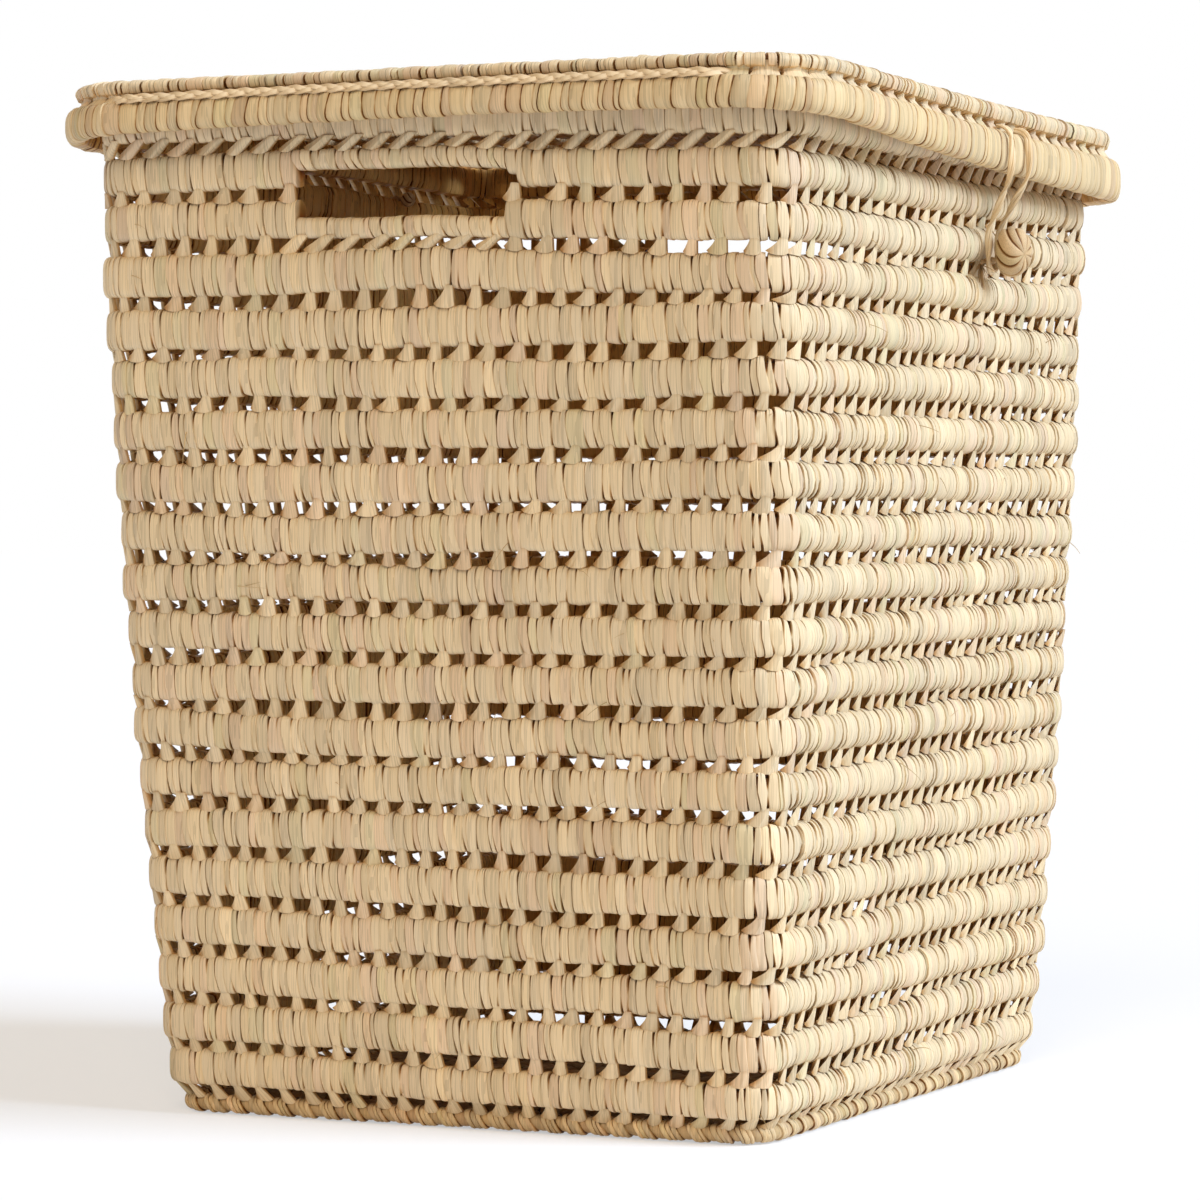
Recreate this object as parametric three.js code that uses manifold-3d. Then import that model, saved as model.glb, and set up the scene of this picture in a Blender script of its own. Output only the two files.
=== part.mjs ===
// A lidded laundry basket of palm leaf.
// Its wall is a stack of leaf-wrapped courses, held apart and together by short stitched ties.
// Millimetres, +Z up. The origin is at the middle of the underside. The front faces -Y.

import * as THREE from 'three';
import { mergeVertices } from 'three/addons/utils/BufferGeometryUtils.js';
import Module from 'manifold-3d';

const wasm = await Module();
wasm.setup();

// Wall courses, from the base rim up to the mouth rim
const COURSE_COUNT = 19;
const COURSE_HEIGHT = 19.6;
const COURSE_THICKNESS = 11;
const STITCH_GAP = 6.4;
const BASE_RIM_HEIGHT = 9.8;
const BASE_RIM_INSET = 4;
const MOUTH_RIM_HEIGHT = 23;

// Plan of the wall at the mouth, over its outer faces, and how each side draws in towards the base
const MOUTH_WIDTH = 445;
const MOUTH_DEPTH = 408;
const WALL_CORNER = 24;
const LEAN = 9;
const BELLY = 17;

// Rounding of a coil's section: across its thin side and along its broad face
const ROUND_ACROSS = 2.4;
const ROUND_ALONG = 5;

// Stitched ties, which are the wrapping leaf of one coil taken on into the next
const TIE_SPACING = 95;
const TIE_WAIST = 5;
const TIE_FLARE = 5;
const TIE_DEPTH = 4.4;
const TIE_ROOT = 2;
const LEAST_TIES = 6;

// Hand slots through both side walls
const HANDLE_GAPS_DOWN = 1;
const HANDLE_LENGTH = 129;
const HANDLE_HEIGHT = 24;
const HANDLE_CORNER = 9;
const HANDLE_SETBACK = 15;

// Base mat of close coils
const MAT_THICKNESS = 9;
const MAT_COIL_WIDTH = 26;
const MAT_GROOVE = 2;
const MAT_GROOVE_WIDTH = 6;
const MAT_CENTRE_CORNER = 8;

// Lid: a skirt that hangs outside the wall, and a flat top of open coils
const SKIRT_CLEARANCE = 10.5;
const SKIRT_THICKNESS = 12;
const SKIRT_HEIGHT = 20;
const LID_CORNER = 55;
const SEAM_GAP = 5.5;
const BORDER_INSET = 6;
const LID_COIL_WIDTH = 19.6;
const LID_COIL_THICKNESS = 9.5;
const LID_GAP = 6.4;
const LID_INNER_CORNER = 5;

// Plaited seam along the two sides of the lid
const BRAID_WIDTH = 8;
const BRAID_INSET = 6;
const BRAID_STEP = 16;
const BRAID_SIDES = 6;
const BRAID_WAIST = 0.8;
const BRAID_SWAY = 0.5;

// Ball toggle on the front wall
const TOGGLE_GAPS_DOWN = 2;
const TOGGLE_ACROSS = 46;
const TOGGLE_STANDOFF = 1.5;
const TOGGLE_RAKE = 12;
const BALL_RADIUS = 12;
const NECK_LENGTH = 5;
const NECK_RADIUS = 2.2;
const SHANK_RADIUS = 2;
const KNOT_RADIUS = 5;

// Closing loop, hung from the lid's front seam and slipped over the ball
const LOOP_RADIUS = 1.5;
const LOOP_ACROSS = 30;
const LOOP_SPREAD = 26;
const LOOP_STEPS = 36;
const LOOP_SLACK = 0.6;
const LOOP_DROP = 24;

// Leaf cords that hinge the lid at the back
const HINGE_CORD_RADIUS = 1.5;
const HINGE_CORD_SLACK = 0.6;
const HINGE_SPREAD = 220;
const HINGE_KNOT_RADIUS = 4.5;

// Gap left between pieces that touch
const CLEARANCE = 0.3;

// Fineness of the round forms
const LEAST_CORNER_STEPS = 2;
const CORNER_STEP_RADIUS = 14;
const ROUND_SEGMENTS = 12;
const CORD_SIDES = 8;
const SLOT_CORNER_STEPS = 4;
const CENTRE_CORNER_STEPS = 2;
const NECK_STEPS = 2;
const BALL_STEPS = 7;
const KNOT_STEPS = 5;

// Leaf colours
const STRAW = 0xd9c08f;
const CREAM = 0xe8d6aa;
const TAN = 0xc9a672;
const BROWN = 0xa9824f;
const LEAF_ROUGHNESS = 0.7;

// Gaps that the hand slots and the toggle take, counted up from the base
const handleGap = COURSE_COUNT - HANDLE_GAPS_DOWN;
const toggleGap = COURSE_COUNT - TOGGLE_GAPS_DOWN;

// Heights that follow from the sizes above
const PITCH = COURSE_HEIGHT + STITCH_GAP;
const gapCentre = (gap) => BASE_RIM_HEIGHT + STITCH_GAP / 2 + gap * PITCH;
const mouthRimBottom = gapCentre(COURSE_COUNT) + STITCH_GAP / 2;
const mouthRimTop = mouthRimBottom + MOUTH_RIM_HEIGHT;
const lidUnderside = mouthRimTop + CLEARANCE;
const seamCentre = lidUnderside - SEAM_GAP / 2;
const skirtTop = lidUnderside - SEAM_GAP;
const skirtBottom = skirtTop - SKIRT_HEIGHT;

// How far the wall's outer face has drawn in from the mouth, at a height
function drawIn(height) {
  const share = Math.max(0, 1 - height / mouthRimBottom);
  return LEAN * share + BELLY * share * share;
}

const group = new THREE.Group();

function addPiece(name, geometry, colour) {
  const material = new THREE.MeshStandardMaterial({ color: colour, roughness: LEAF_ROUGHNESS, metalness: 0 });
  const mesh = new THREE.Mesh(geometry, material);
  mesh.name = name;
  group.add(mesh);
  return mesh;
}

// A closed geometry as a solid that can be joined and cut
function toSolid(geometry) {
  const bare = geometry.clone();
  bare.deleteAttribute('normal');
  bare.deleteAttribute('uv');
  const merged = mergeVertices(bare);
  return new wasm.Manifold(new wasm.Mesh({
    numProp: 3,
    vertProperties: new Float32Array(merged.attributes.position.array),
    triVerts: new Uint32Array(merged.index.array),
  }));
}

function toGeometry(solid) {
  const mesh = solid.getMesh();
  const geometry = new THREE.BufferGeometry();
  geometry.setAttribute('position', new THREE.BufferAttribute(mesh.vertProperties, 3));
  geometry.setIndex(new THREE.BufferAttribute(mesh.triVerts, 1));
  geometry.computeVertexNormals();
  return geometry;
}

// A skin through matching loops of points: a ring where the last loop meets the first, or a capped body
function loft(loops, isRing) {
  const around = loops[0].length;
  const spans = isRing ? loops.length : loops.length - 1;
  const indices = [];
  for (let span = 0; span < spans; span++) {
    const here = span * around;
    const there = ((span + 1) % loops.length) * around;
    for (let step = 0; step < around; step++) {
      const next = (step + 1) % around;
      indices.push(here + step, here + next, there + next);
      indices.push(here + step, there + next, there + step);
    }
  }
  const lastLoop = (loops.length - 1) * around;
  for (let step = 1; step < around - 1 && !isRing; step++) {
    indices.push(0, step + 1, step);
    indices.push(lastLoop, lastLoop + step, lastLoop + step + 1);
  }
  const geometry = new THREE.BufferGeometry().setFromPoints(loops.flat());
  geometry.setIndex(indices);
  geometry.computeVertexNormals();
  return geometry;
}

// Outline of a rectangle with round corners, anticlockwise from the front end of its +X side
function roundedRectangle(halfX, halfY, radius) {
  const path = new THREE.Path();
  path.moveTo(halfX, radius - halfY);
  path.lineTo(halfX, halfY - radius);
  path.absarc(halfX - radius, halfY - radius, radius, 0, Math.PI / 2);
  path.lineTo(radius - halfX, halfY);
  path.absarc(radius - halfX, halfY - radius, radius, Math.PI / 2, Math.PI);
  path.lineTo(-halfX, radius - halfY);
  path.absarc(radius - halfX, radius - halfY, radius, Math.PI, 1.5 * Math.PI);
  path.lineTo(halfX - radius, -halfY);
  path.absarc(halfX - radius, radius - halfY, radius, 1.5 * Math.PI, 2 * Math.PI);
  return path;
}

// Chords in a quarter round: more on a wide corner than on a tight one
const cornerSteps = (radius) => Math.max(LEAST_CORNER_STEPS, Math.round(radius / CORNER_STEP_RADIUS));

// The same outline as a loop of points at one height
function loopAt(halfX, halfY, radius, height, steps) {
  const points = [];
  for (let corner = 0; corner < 4; corner++) {
    const centreX = (corner === 0 || corner === 3 ? 1 : -1) * (halfX - radius);
    const centreY = (corner < 2 ? 1 : -1) * (halfY - radius);
    for (let step = 0; step <= steps; step++) {
      const angle = (corner + step / steps) * Math.PI / 2;
      const x = centreX + radius * Math.cos(angle);
      const y = centreY + radius * Math.sin(angle);
      points.push(new THREE.Vector3(x, y, height));
    }
  }
  return points;
}

// Section of a coil, as insets from its outer face and rises from its underside, anticlockwise
function coilSection(width, height, roundIn, roundUp) {
  return [
    { inset: 0, rise: roundUp },
    { inset: 0, rise: height - roundUp },
    { inset: roundIn, rise: height },
    { inset: width - roundIn, rise: height },
    { inset: width, rise: height - roundUp },
    { inset: width, rise: roundUp },
    { inset: width - roundIn, rise: 0 },
    { inset: roundIn, rise: 0 },
  ];
}

function coilRing(halfX, halfY, radius, underside, section) {
  const steps = cornerSteps(radius);
  const loops = section.map(({ inset, rise }) => (
    loopAt(halfX - inset, halfY - inset, radius - inset, underside + rise, steps)
  ));
  return loft(loops, true);
}

// Evenly spaced places along an outline, each with its direction and the way out
function placesAlong(path, phase) {
  const count = Math.max(LEAST_TIES, Math.round(path.getLength() / TIE_SPACING));
  const places = [];
  for (let i = 0; i < count; i++) {
    const share = (i + phase) / count;
    const point = path.getPointAt(share);
    const along = path.getTangentAt(share);
    const out = new THREE.Vector2(along.y, -along.x);
    places.push({ point, along, out });
  }
  return places;
}

// A tie's section: a broad outer face and a narrow back, moved out by an offset
function tieSection({ point, along, out }, leftReach, rightReach, offset, height) {
  const corner = (acrossBy, outBy) => new THREE.Vector3(
    point.x + along.x * acrossBy + out.x * (outBy + offset),
    point.y + along.y * acrossBy + out.y * (outBy + offset),
    height,
  );
  return [corner(0, -TIE_DEPTH / 2), corner(-leftReach, TIE_DEPTH / 2), corner(rightReach, TIE_DEPTH / 2)];
}

// A tie that hangs from one coil, narrow at its waist and spread to one side where it meets the next
function hangingTie(place, foot, top, footOffset) {
  const halfWaist = TIE_WAIST / 2;
  const lower = tieSection(place, halfWaist + TIE_FLARE, halfWaist, footOffset, foot);
  const upper = tieSection(place, halfWaist, halfWaist, 0, top);
  return loft([lower, upper], false);
}

// A tie that lies flat and reaches in from one lid coil to the next
function flatTie({ point, along, out }, reach, middle) {
  const halfWaist = TIE_WAIST / 2;
  const endSection = (leftReach, inBy) => {
    const corner = (acrossBy, rise) => new THREE.Vector3(
      point.x + along.x * acrossBy - out.x * inBy,
      point.y + along.y * acrossBy - out.y * inBy,
      middle + rise,
    );
    return [corner(0, -TIE_DEPTH / 2), corner(halfWaist, TIE_DEPTH / 2), corner(-leftReach, TIE_DEPTH / 2)];
  };
  return loft([endSection(halfWaist + TIE_FLARE, reach), endSection(halfWaist, -TIE_ROOT)], false);
}

function fuse(geometry, additions) {
  let solid = toSolid(geometry);
  for (const addition of additions) {
    solid = solid.add(toSolid(addition));
  }
  return solid;
}

// Places in the stitched gaps that stay free of ties: the hand slots, the toggle and the hinge cords
const tieReach = TIE_WAIST + TIE_FLARE;
const frontFace = drawIn(gapCentre(toggleGap)) - MOUTH_DEPTH / 2;
const hingeAcross = HINGE_SPREAD / 2;
const isNear = (value, target, reach) => Math.abs(value - target) < reach;

function isFree(gap, { x, y }) {
  const onSide = Math.abs(y) < MOUTH_DEPTH / 2 - WALL_CORNER;
  if (gap === handleGap && onSide && isNear(y, HANDLE_SETBACK, HANDLE_LENGTH / 2 + tieReach)) {
    return false;
  }
  if (gap === toggleGap && y < 0 && isNear(x, TOGGLE_ACROSS, SHANK_RADIUS + tieReach)) {
    return false;
  }
  const isHinge = gap === COURSE_COUNT && y > 0;
  return !(isHinge && isNear(Math.abs(x), hingeAcross, HINGE_CORD_RADIUS + tieReach));
}

// The hand slot as a solid that runs through both side walls
function handSlot() {
  const outline = roundedRectangle(HANDLE_LENGTH / 2, HANDLE_HEIGHT / 2, HANDLE_CORNER);
  const shape = new THREE.Shape(outline.getPoints(SLOT_CORNER_STEPS));
  const depth = MOUTH_WIDTH + 2 * COURSE_THICKNESS;
  const slot = new THREE.ExtrudeGeometry(shape, { depth, bevelEnabled: false });
  const turn = new THREE.Matrix4().makeBasis(
    new THREE.Vector3(0, 1, 0),
    new THREE.Vector3(0, 0, 1),
    new THREE.Vector3(1, 0, 0),
  );
  slot.translate(0, 0, -depth / 2);
  slot.applyMatrix4(turn);
  slot.translate(0, HANDLE_SETBACK, gapCentre(handleGap));
  return toSolid(slot);
}

// One course of the wall with the ties that hang from it down to the piece below
function wallCourse(gap, height, lowerInset) {
  const underside = gapCentre(gap) + STITCH_GAP / 2;
  const inset = drawIn(underside + height / 2);
  const halfX = MOUTH_WIDTH / 2 - inset;
  const halfY = MOUTH_DEPTH / 2 - inset;
  const ring = coilRing(halfX, halfY, WALL_CORNER, underside,
    coilSection(COURSE_THICKNESS, height, ROUND_ACROSS, ROUND_ALONG));
  const toMiddle = COURSE_THICKNESS / 2;
  const middle = roundedRectangle(halfX - toMiddle, halfY - toMiddle, WALL_CORNER - toMiddle);
  const foot = underside - STITCH_GAP + CLEARANCE;
  const ties = placesAlong(middle, (gap % 2) / 2)
    .filter(({ point }) => isFree(gap, point))
    .map((place) => hangingTie(place, foot, underside + TIE_ROOT, inset - lowerInset));
  return fuse(ring, ties);
}

// Base: the mat of close coils inside a low rim
const baseInset = drawIn(BASE_RIM_HEIGHT / 2) + BASE_RIM_INSET;
const baseHalfX = MOUTH_WIDTH / 2 - baseInset;
const baseHalfY = MOUTH_DEPTH / 2 - baseInset;
const baseSection = coilSection(COURSE_THICKNESS, BASE_RIM_HEIGHT, ROUND_ACROSS, ROUND_ACROSS);
addPiece('base_rim', coilRing(baseHalfX, baseHalfY, WALL_CORNER, 0, baseSection), TAN);

function baseMat() {
  const toMat = COURSE_THICKNESS + CLEARANCE;
  const halfX = baseHalfX - toMat;
  const halfY = baseHalfY - toMat;
  const coils = Math.floor(halfY / MAT_COIL_WIDTH) - 1;
  const halfGroove = MAT_GROOVE_WIDTH / 2;
  const loop = (inset, height) => {
    const radius = Math.max(MAT_CENTRE_CORNER, WALL_CORNER - toMat - inset);
    return loopAt(halfX - inset, halfY - inset, radius, height, LEAST_CORNER_STEPS);
  };
  const under = [];
  const over = [];
  for (let coil = coils; coil > 0; coil--) {
    const inset = coil * MAT_COIL_WIDTH;
    under.push(loop(inset + halfGroove, 0), loop(inset, MAT_GROOVE), loop(inset - halfGroove, 0));
    over.push(loop(inset + halfGroove, MAT_THICKNESS), loop(inset, MAT_THICKNESS - MAT_GROOVE));
    over.push(loop(inset - halfGroove, MAT_THICKNESS));
  }
  under.push(loop(0, 0));
  over.push(loop(0, MAT_THICKNESS));
  return loft([...under, ...over.reverse()], false);
}
addPiece('base_mat', baseMat(), BROWN);

// Wall: the courses, then the mouth rim, with the hand slots cut where they fall
const slot = handSlot();
let lowerInset = baseInset;
for (let course = 1; course <= COURSE_COUNT; course++) {
  const gap = course - 1;
  let solid = wallCourse(gap, COURSE_HEIGHT, lowerInset);
  if (gap === handleGap || gap === handleGap - 1) {
    solid = solid.subtract(slot);
  }
  addPiece(`course_${String(course).padStart(2, '0')}`, toGeometry(solid), course % 2 ? STRAW : CREAM);
  lowerInset = drawIn(gapCentre(gap) + PITCH / 2);
}
addPiece('mouth_rim', toGeometry(wallCourse(COURSE_COUNT, MOUTH_RIM_HEIGHT, lowerInset)), STRAW);

// Lid skirt
const lidHalfX = MOUTH_WIDTH / 2 + SKIRT_CLEARANCE + SKIRT_THICKNESS;
const lidHalfY = MOUTH_DEPTH / 2 + SKIRT_CLEARANCE + SKIRT_THICKNESS;
const skirtSection = coilSection(SKIRT_THICKNESS, SKIRT_HEIGHT, ROUND_ACROSS, ROUND_ALONG);
addPiece('lid_skirt', coilRing(lidHalfX, lidHalfY, LID_CORNER, skirtBottom, skirtSection), CREAM);

// Lid top: nested coils round a short middle coil, each tied to the next one in
const lidPitch = LID_COIL_WIDTH + LID_GAP;
const leastCentre = LID_INNER_CORNER + 2 * ROUND_ACROSS;
const lidShortHalf = Math.min(lidHalfX, lidHalfY);
const lidCoilCount = Math.floor((lidShortHalf - BORDER_INSET - leastCentre) / lidPitch);
const lidSection = coilSection(LID_COIL_WIDTH, LID_COIL_THICKNESS, ROUND_ALONG, ROUND_ACROSS);
const lidMiddle = lidUnderside + LID_COIL_THICKNESS / 2;
const lidRadius = (inset) => Math.max(LID_CORNER - inset, LID_COIL_WIDTH + LID_INNER_CORNER);

// Ties of the open seam at the lid's front, back and corners, from the border coil down to the skirt
function seamTies() {
  const borderMiddle = BORDER_INSET + ROUND_ALONG + TIE_DEPTH / 2;
  const footOffset = borderMiddle - SKIRT_THICKNESS / 2;
  const path = roundedRectangle(lidHalfX - borderMiddle, lidHalfY - borderMiddle, LID_CORNER - borderMiddle);
  const isOpen = ({ x, y }) => {
    const besideLoop = y < 0 && isNear(x, LOOP_ACROSS, LOOP_SPREAD / 2 + LOOP_RADIUS + tieReach);
    const besideHinge = y > 0 && isNear(Math.abs(x), hingeAcross, HINGE_CORD_RADIUS + tieReach);
    return Math.abs(y) > lidHalfY - LID_CORNER + tieReach && !besideLoop && !besideHinge;
  };
  return placesAlong(path, 0)
    .filter(({ point }) => isOpen(point))
    .map((place) => hangingTie(place, skirtTop + CLEARANCE, lidUnderside + TIE_ROOT, footOffset));
}

// Ties between lid coils stand on the straight runs, clear of the corners
function isInStraight({ x, y }, halfX, halfY, radius) {
  const reach = radius + tieReach / 2;
  return Math.abs(x) < halfX - reach || Math.abs(y) < halfY - reach;
}

for (let coil = 1; coil <= lidCoilCount; coil++) {
  const inset = BORDER_INSET + (coil - 1) * lidPitch;
  const halfX = lidHalfX - inset;
  const halfY = lidHalfY - inset;
  const ring = coilRing(halfX, halfY, lidRadius(inset), lidUnderside, lidSection);
  const innerRadius = lidRadius(inset) - LID_COIL_WIDTH;
  const innerEdge = roundedRectangle(halfX - LID_COIL_WIDTH, halfY - LID_COIL_WIDTH, innerRadius);
  const ties = placesAlong(innerEdge, (coil % 2) / 2)
    .filter(({ point }) => isInStraight(point, halfX, halfY, lidRadius(inset)))
    .map((place) => flatTie(place, LID_GAP - CLEARANCE, lidMiddle));
  const additions = coil === 1 ? [...ties, ...seamTies()] : ties;
  addPiece(`lid_coil_${coil}`, toGeometry(fuse(ring, additions)), coil % 2 ? STRAW : CREAM);
}

const centreInset = BORDER_INSET + lidCoilCount * lidPitch;
const centreOutline = roundedRectangle(
  lidHalfX - centreInset - ROUND_ACROSS,
  lidHalfY - centreInset - ROUND_ACROSS,
  LID_INNER_CORNER,
);
const centreShape = new THREE.Shape(centreOutline.getPoints(CENTRE_CORNER_STEPS));
const centreGeometry = new THREE.ExtrudeGeometry(centreShape, {
  depth: LID_COIL_THICKNESS - 2 * ROUND_ACROSS,
  bevelEnabled: true,
  bevelThickness: ROUND_ACROSS,
  bevelSize: ROUND_ACROSS,
  bevelSegments: 1,
});
addPiece('lid_centre_coil', centreGeometry, STRAW).position.z = lidUnderside + ROUND_ACROSS;

// Plaited seam: a flat cord that swells and sways as its strands cross
function braid(side) {
  const halfLength = lidHalfY - LID_CORNER;
  const steps = Math.round(2 * halfLength / BRAID_STEP);
  const halfHeight = SEAM_GAP / 2 - CLEARANCE;
  const loops = [];
  for (let step = 0; step <= steps; step++) {
    const swell = step % 2 ? 1 : BRAID_WAIST;
    const sway = step % 4 < 2 ? BRAID_SWAY : -BRAID_SWAY;
    const y = -halfLength + step * 2 * halfLength / steps;
    const loop = [];
    for (let turn = 0; turn < BRAID_SIDES; turn++) {
      const angle = turn * 2 * Math.PI / BRAID_SIDES;
      const x = side * (lidHalfX - BRAID_INSET) + sway + swell * BRAID_WIDTH / 2 * Math.cos(angle);
      loop.push(new THREE.Vector3(x, y, seamCentre - swell * halfHeight * Math.sin(angle)));
    }
    loops.push(loop);
  }
  return loft(loops, false);
}
addPiece('lid_braid_left', braid(-1), TAN);
addPiece('lid_braid_right', braid(1), TAN);

// Ball toggle: a shank knotted inside the wall, and a ball on a short neck that nods on the shank's end
const roundArc = (centre, radius, from, to, steps) => {
  const points = [];
  for (let step = 0; step <= steps; step++) {
    const angle = from + (to - from) * step / steps;
    points.push(new THREE.Vector2(radius * Math.cos(angle), centre + radius * Math.sin(angle)));
  }
  return points;
};

function turned(profile) {
  const onAxis = profile.map(({ x, y }) => new THREE.Vector2(Math.max(0, x), y));
  onAxis[0].x = 0;
  onAxis[onAxis.length - 1].x = 0;
  return new THREE.LatheGeometry(onAxis, ROUND_SEGMENTS);
}

const ballCentre = NECK_LENGTH + BALL_RADIUS;
const neckMeetsBall = -Math.acos(NECK_RADIUS / BALL_RADIUS);
const ball = addPiece('toggle_ball', turned([
  ...roundArc(0, NECK_RADIUS, -Math.PI / 2, 0, NECK_STEPS),
  ...roundArc(ballCentre, BALL_RADIUS, neckMeetsBall, Math.PI / 2, BALL_STEPS),
]), TAN);
ball.position.set(TOGGLE_ACROSS, frontFace - TOGGLE_STANDOFF, gapCentre(toggleGap));
ball.rotation.x = Math.PI - THREE.MathUtils.degToRad(TOGGLE_RAKE);

const shankEnd = -NECK_RADIUS - CLEARANCE;
const knotCentre = -TOGGLE_STANDOFF - COURSE_THICKNESS - CLEARANCE - KNOT_RADIUS;
const shankMeetsKnot = Math.acos(SHANK_RADIUS / KNOT_RADIUS);
const shank = addPiece('toggle_shank', turned([
  ...roundArc(knotCentre, KNOT_RADIUS, -Math.PI / 2, shankMeetsKnot, KNOT_STEPS),
  new THREE.Vector2(SHANK_RADIUS, shankEnd),
  new THREE.Vector2(0, shankEnd),
]), TAN);
shank.position.copy(ball.position);
shank.rotation.x = Math.PI;

// A round cord along a curve
function cordAlong(curve, radius, steps) {
  const section = new THREE.Shape();
  for (let side = 0; side < CORD_SIDES; side++) {
    const angle = side * 2 * Math.PI / CORD_SIDES;
    const x = radius * Math.cos(angle);
    const y = radius * Math.sin(angle);
    if (side === 0) {
      section.moveTo(x, y);
    } else {
      section.lineTo(x, y);
    }
  }
  return new THREE.ExtrudeGeometry(section, { steps, bevelEnabled: false, extrudePath: curve });
}

// Closing loop: out of the seam, down over the skirt, round behind the ball's neck and back up
function closingLoop() {
  const seamY = BORDER_INSET - lidHalfY;
  const skirtY = -lidHalfY - LOOP_RADIUS - LOOP_SLACK;
  const neckY = frontFace - TOGGLE_STANDOFF - NECK_LENGTH / 2;
  const neckZ = gapCentre(toggleGap);
  const hold = NECK_RADIUS + LOOP_RADIUS + LOOP_SLACK;
  const leg = (side) => {
    const anchorX = LOOP_ACROSS + side * LOOP_SPREAD / 2;
    const neckX = TOGGLE_ACROSS + side * hold;
    return [
      new THREE.Vector3(anchorX, seamY, seamCentre),
      new THREE.Vector3(anchorX, skirtY + ROUND_ACROSS, seamCentre - LOOP_SLACK),
      new THREE.Vector3(anchorX, skirtY, skirtTop - ROUND_ALONG),
      new THREE.Vector3(anchorX, skirtY, skirtBottom),
      new THREE.Vector3((anchorX + neckX) / 2, (skirtY + neckY) / 2, skirtBottom - LOOP_DROP),
      new THREE.Vector3(neckX, neckY, neckZ + hold),
      new THREE.Vector3(neckX, neckY, neckZ),
    ];
  };
  const turn = new THREE.Vector3(TOGGLE_ACROSS, neckY, neckZ - hold);
  const curve = new THREE.CatmullRomCurve3([...leg(-1), turn, ...leg(1).reverse()], false, 'centripetal');
  return cordAlong(curve, LOOP_RADIUS, LOOP_STEPS);
}
addPiece('closing_loop', closingLoop(), CREAM);

// Hinge cord: a ring round the skirt with a tail through the top gap of the wall, knotted inside
function hingeCord(across) {
  const reach = HINGE_CORD_RADIUS + HINGE_CORD_SLACK;
  const low = skirtBottom - HINGE_CORD_RADIUS - CLEARANCE;
  const halfY = SKIRT_THICKNESS / 2 + reach;
  const halfZ = (seamCentre - low) / 2;
  const middleY = lidHalfY - SKIRT_THICKNESS / 2;
  const section = [];
  for (let side = 0; side < CORD_SIDES; side++) {
    const angle = side * 2 * Math.PI / CORD_SIDES;
    const inset = HINGE_CORD_RADIUS - HINGE_CORD_RADIUS * Math.cos(angle);
    section.push({ inset, rise: HINGE_CORD_RADIUS * Math.sin(angle) });
  }
  const outer = HINGE_CORD_RADIUS;
  const ring = coilRing(halfY + outer, halfZ + outer, reach + 2 * outer, 0, section);
  ring.applyMatrix4(new THREE.Matrix4().makeBasis(
    new THREE.Vector3(0, 1, 0),
    new THREE.Vector3(0, 0, 1),
    new THREE.Vector3(1, 0, 0),
  ));
  ring.translate(across, middleY, low + halfZ);
  const innerFace = MOUTH_DEPTH / 2 - COURSE_THICKNESS;
  const knotY = innerFace - CLEARANCE - HINGE_KNOT_RADIUS;
  const tailLength = middleY - knotY;
  const tail = new THREE.CylinderGeometry(HINGE_CORD_RADIUS, HINGE_CORD_RADIUS, tailLength, CORD_SIDES);
  tail.translate(across, knotY + tailLength / 2, low);
  const knot = new THREE.SphereGeometry(HINGE_KNOT_RADIUS, CORD_SIDES, CORD_SIDES / 2);
  knot.translate(across, knotY, low);
  return toGeometry(fuse(ring, [tail, knot]));
}
addPiece('hinge_cord_left', hingeCord(-hingeAcross), TAN);
addPiece('hinge_cord_right', hingeCord(hingeAcross), TAN);

export default group;
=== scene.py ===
import math

import bpy
import numpy as np
from mathutils import Matrix, Vector
from numpy.random import default_rng


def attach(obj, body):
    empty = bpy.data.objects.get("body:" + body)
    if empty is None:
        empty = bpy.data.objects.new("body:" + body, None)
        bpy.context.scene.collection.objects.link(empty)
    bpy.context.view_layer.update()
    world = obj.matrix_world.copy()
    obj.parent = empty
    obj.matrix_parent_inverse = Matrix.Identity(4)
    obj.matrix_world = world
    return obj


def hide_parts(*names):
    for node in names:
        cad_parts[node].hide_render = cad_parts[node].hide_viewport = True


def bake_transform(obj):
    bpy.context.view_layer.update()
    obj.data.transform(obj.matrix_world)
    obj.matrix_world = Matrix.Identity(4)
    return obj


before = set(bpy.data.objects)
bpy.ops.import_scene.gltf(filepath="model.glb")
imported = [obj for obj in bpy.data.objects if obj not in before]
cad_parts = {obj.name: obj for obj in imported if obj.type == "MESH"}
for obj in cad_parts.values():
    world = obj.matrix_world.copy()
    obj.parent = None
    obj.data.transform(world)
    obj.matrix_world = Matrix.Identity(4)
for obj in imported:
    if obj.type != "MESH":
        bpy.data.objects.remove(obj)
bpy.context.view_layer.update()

# Base mat: flat coils of brown palm fibre, each a bundle of stems bound with a slanting strip, sewn side by
# side. It closes the bottom of the basket and lies on the floor inside the base rim.
MAT_OUTLINE = (0.1816, 0.1631, 0.022)
MAT_THICKNESS = 0.009
MAT_COIL_WIDTH = 0.0135
MAT_ROUNDNESS = 2.1
MAT_STRIPS = (0.011, 0.006, 0.0011)
MAT_CLEARANCE = 0.0002
# the fibre's own brown, made darker as painted shade for the shaded inside of the basket
FIBRE_BROWN_AND_SHADE = (0.36, 0.21, 0.085)
FIBRE_UNEVEN = 0.16
# painted shade: the brown fibre is multiplied towards this colour where it lies deep in a fold or groove
FIBRE_FOLD_SHADE = (0.20, 0.12, 0.06)
FIBRE_ROUGHNESS = 0.7
# painted shade: the back and hidden faces of the coils are tinted towards this darker, warmer colour
BEHIND_SHADE = (0.98, 0.69, 0.32)
FACE_STEPS = np.radians([0, 11, 26, 44, 62, 77, 90, 125, 160, 200, 235, 270, 283, 298, 316, 334, 349])


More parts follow.
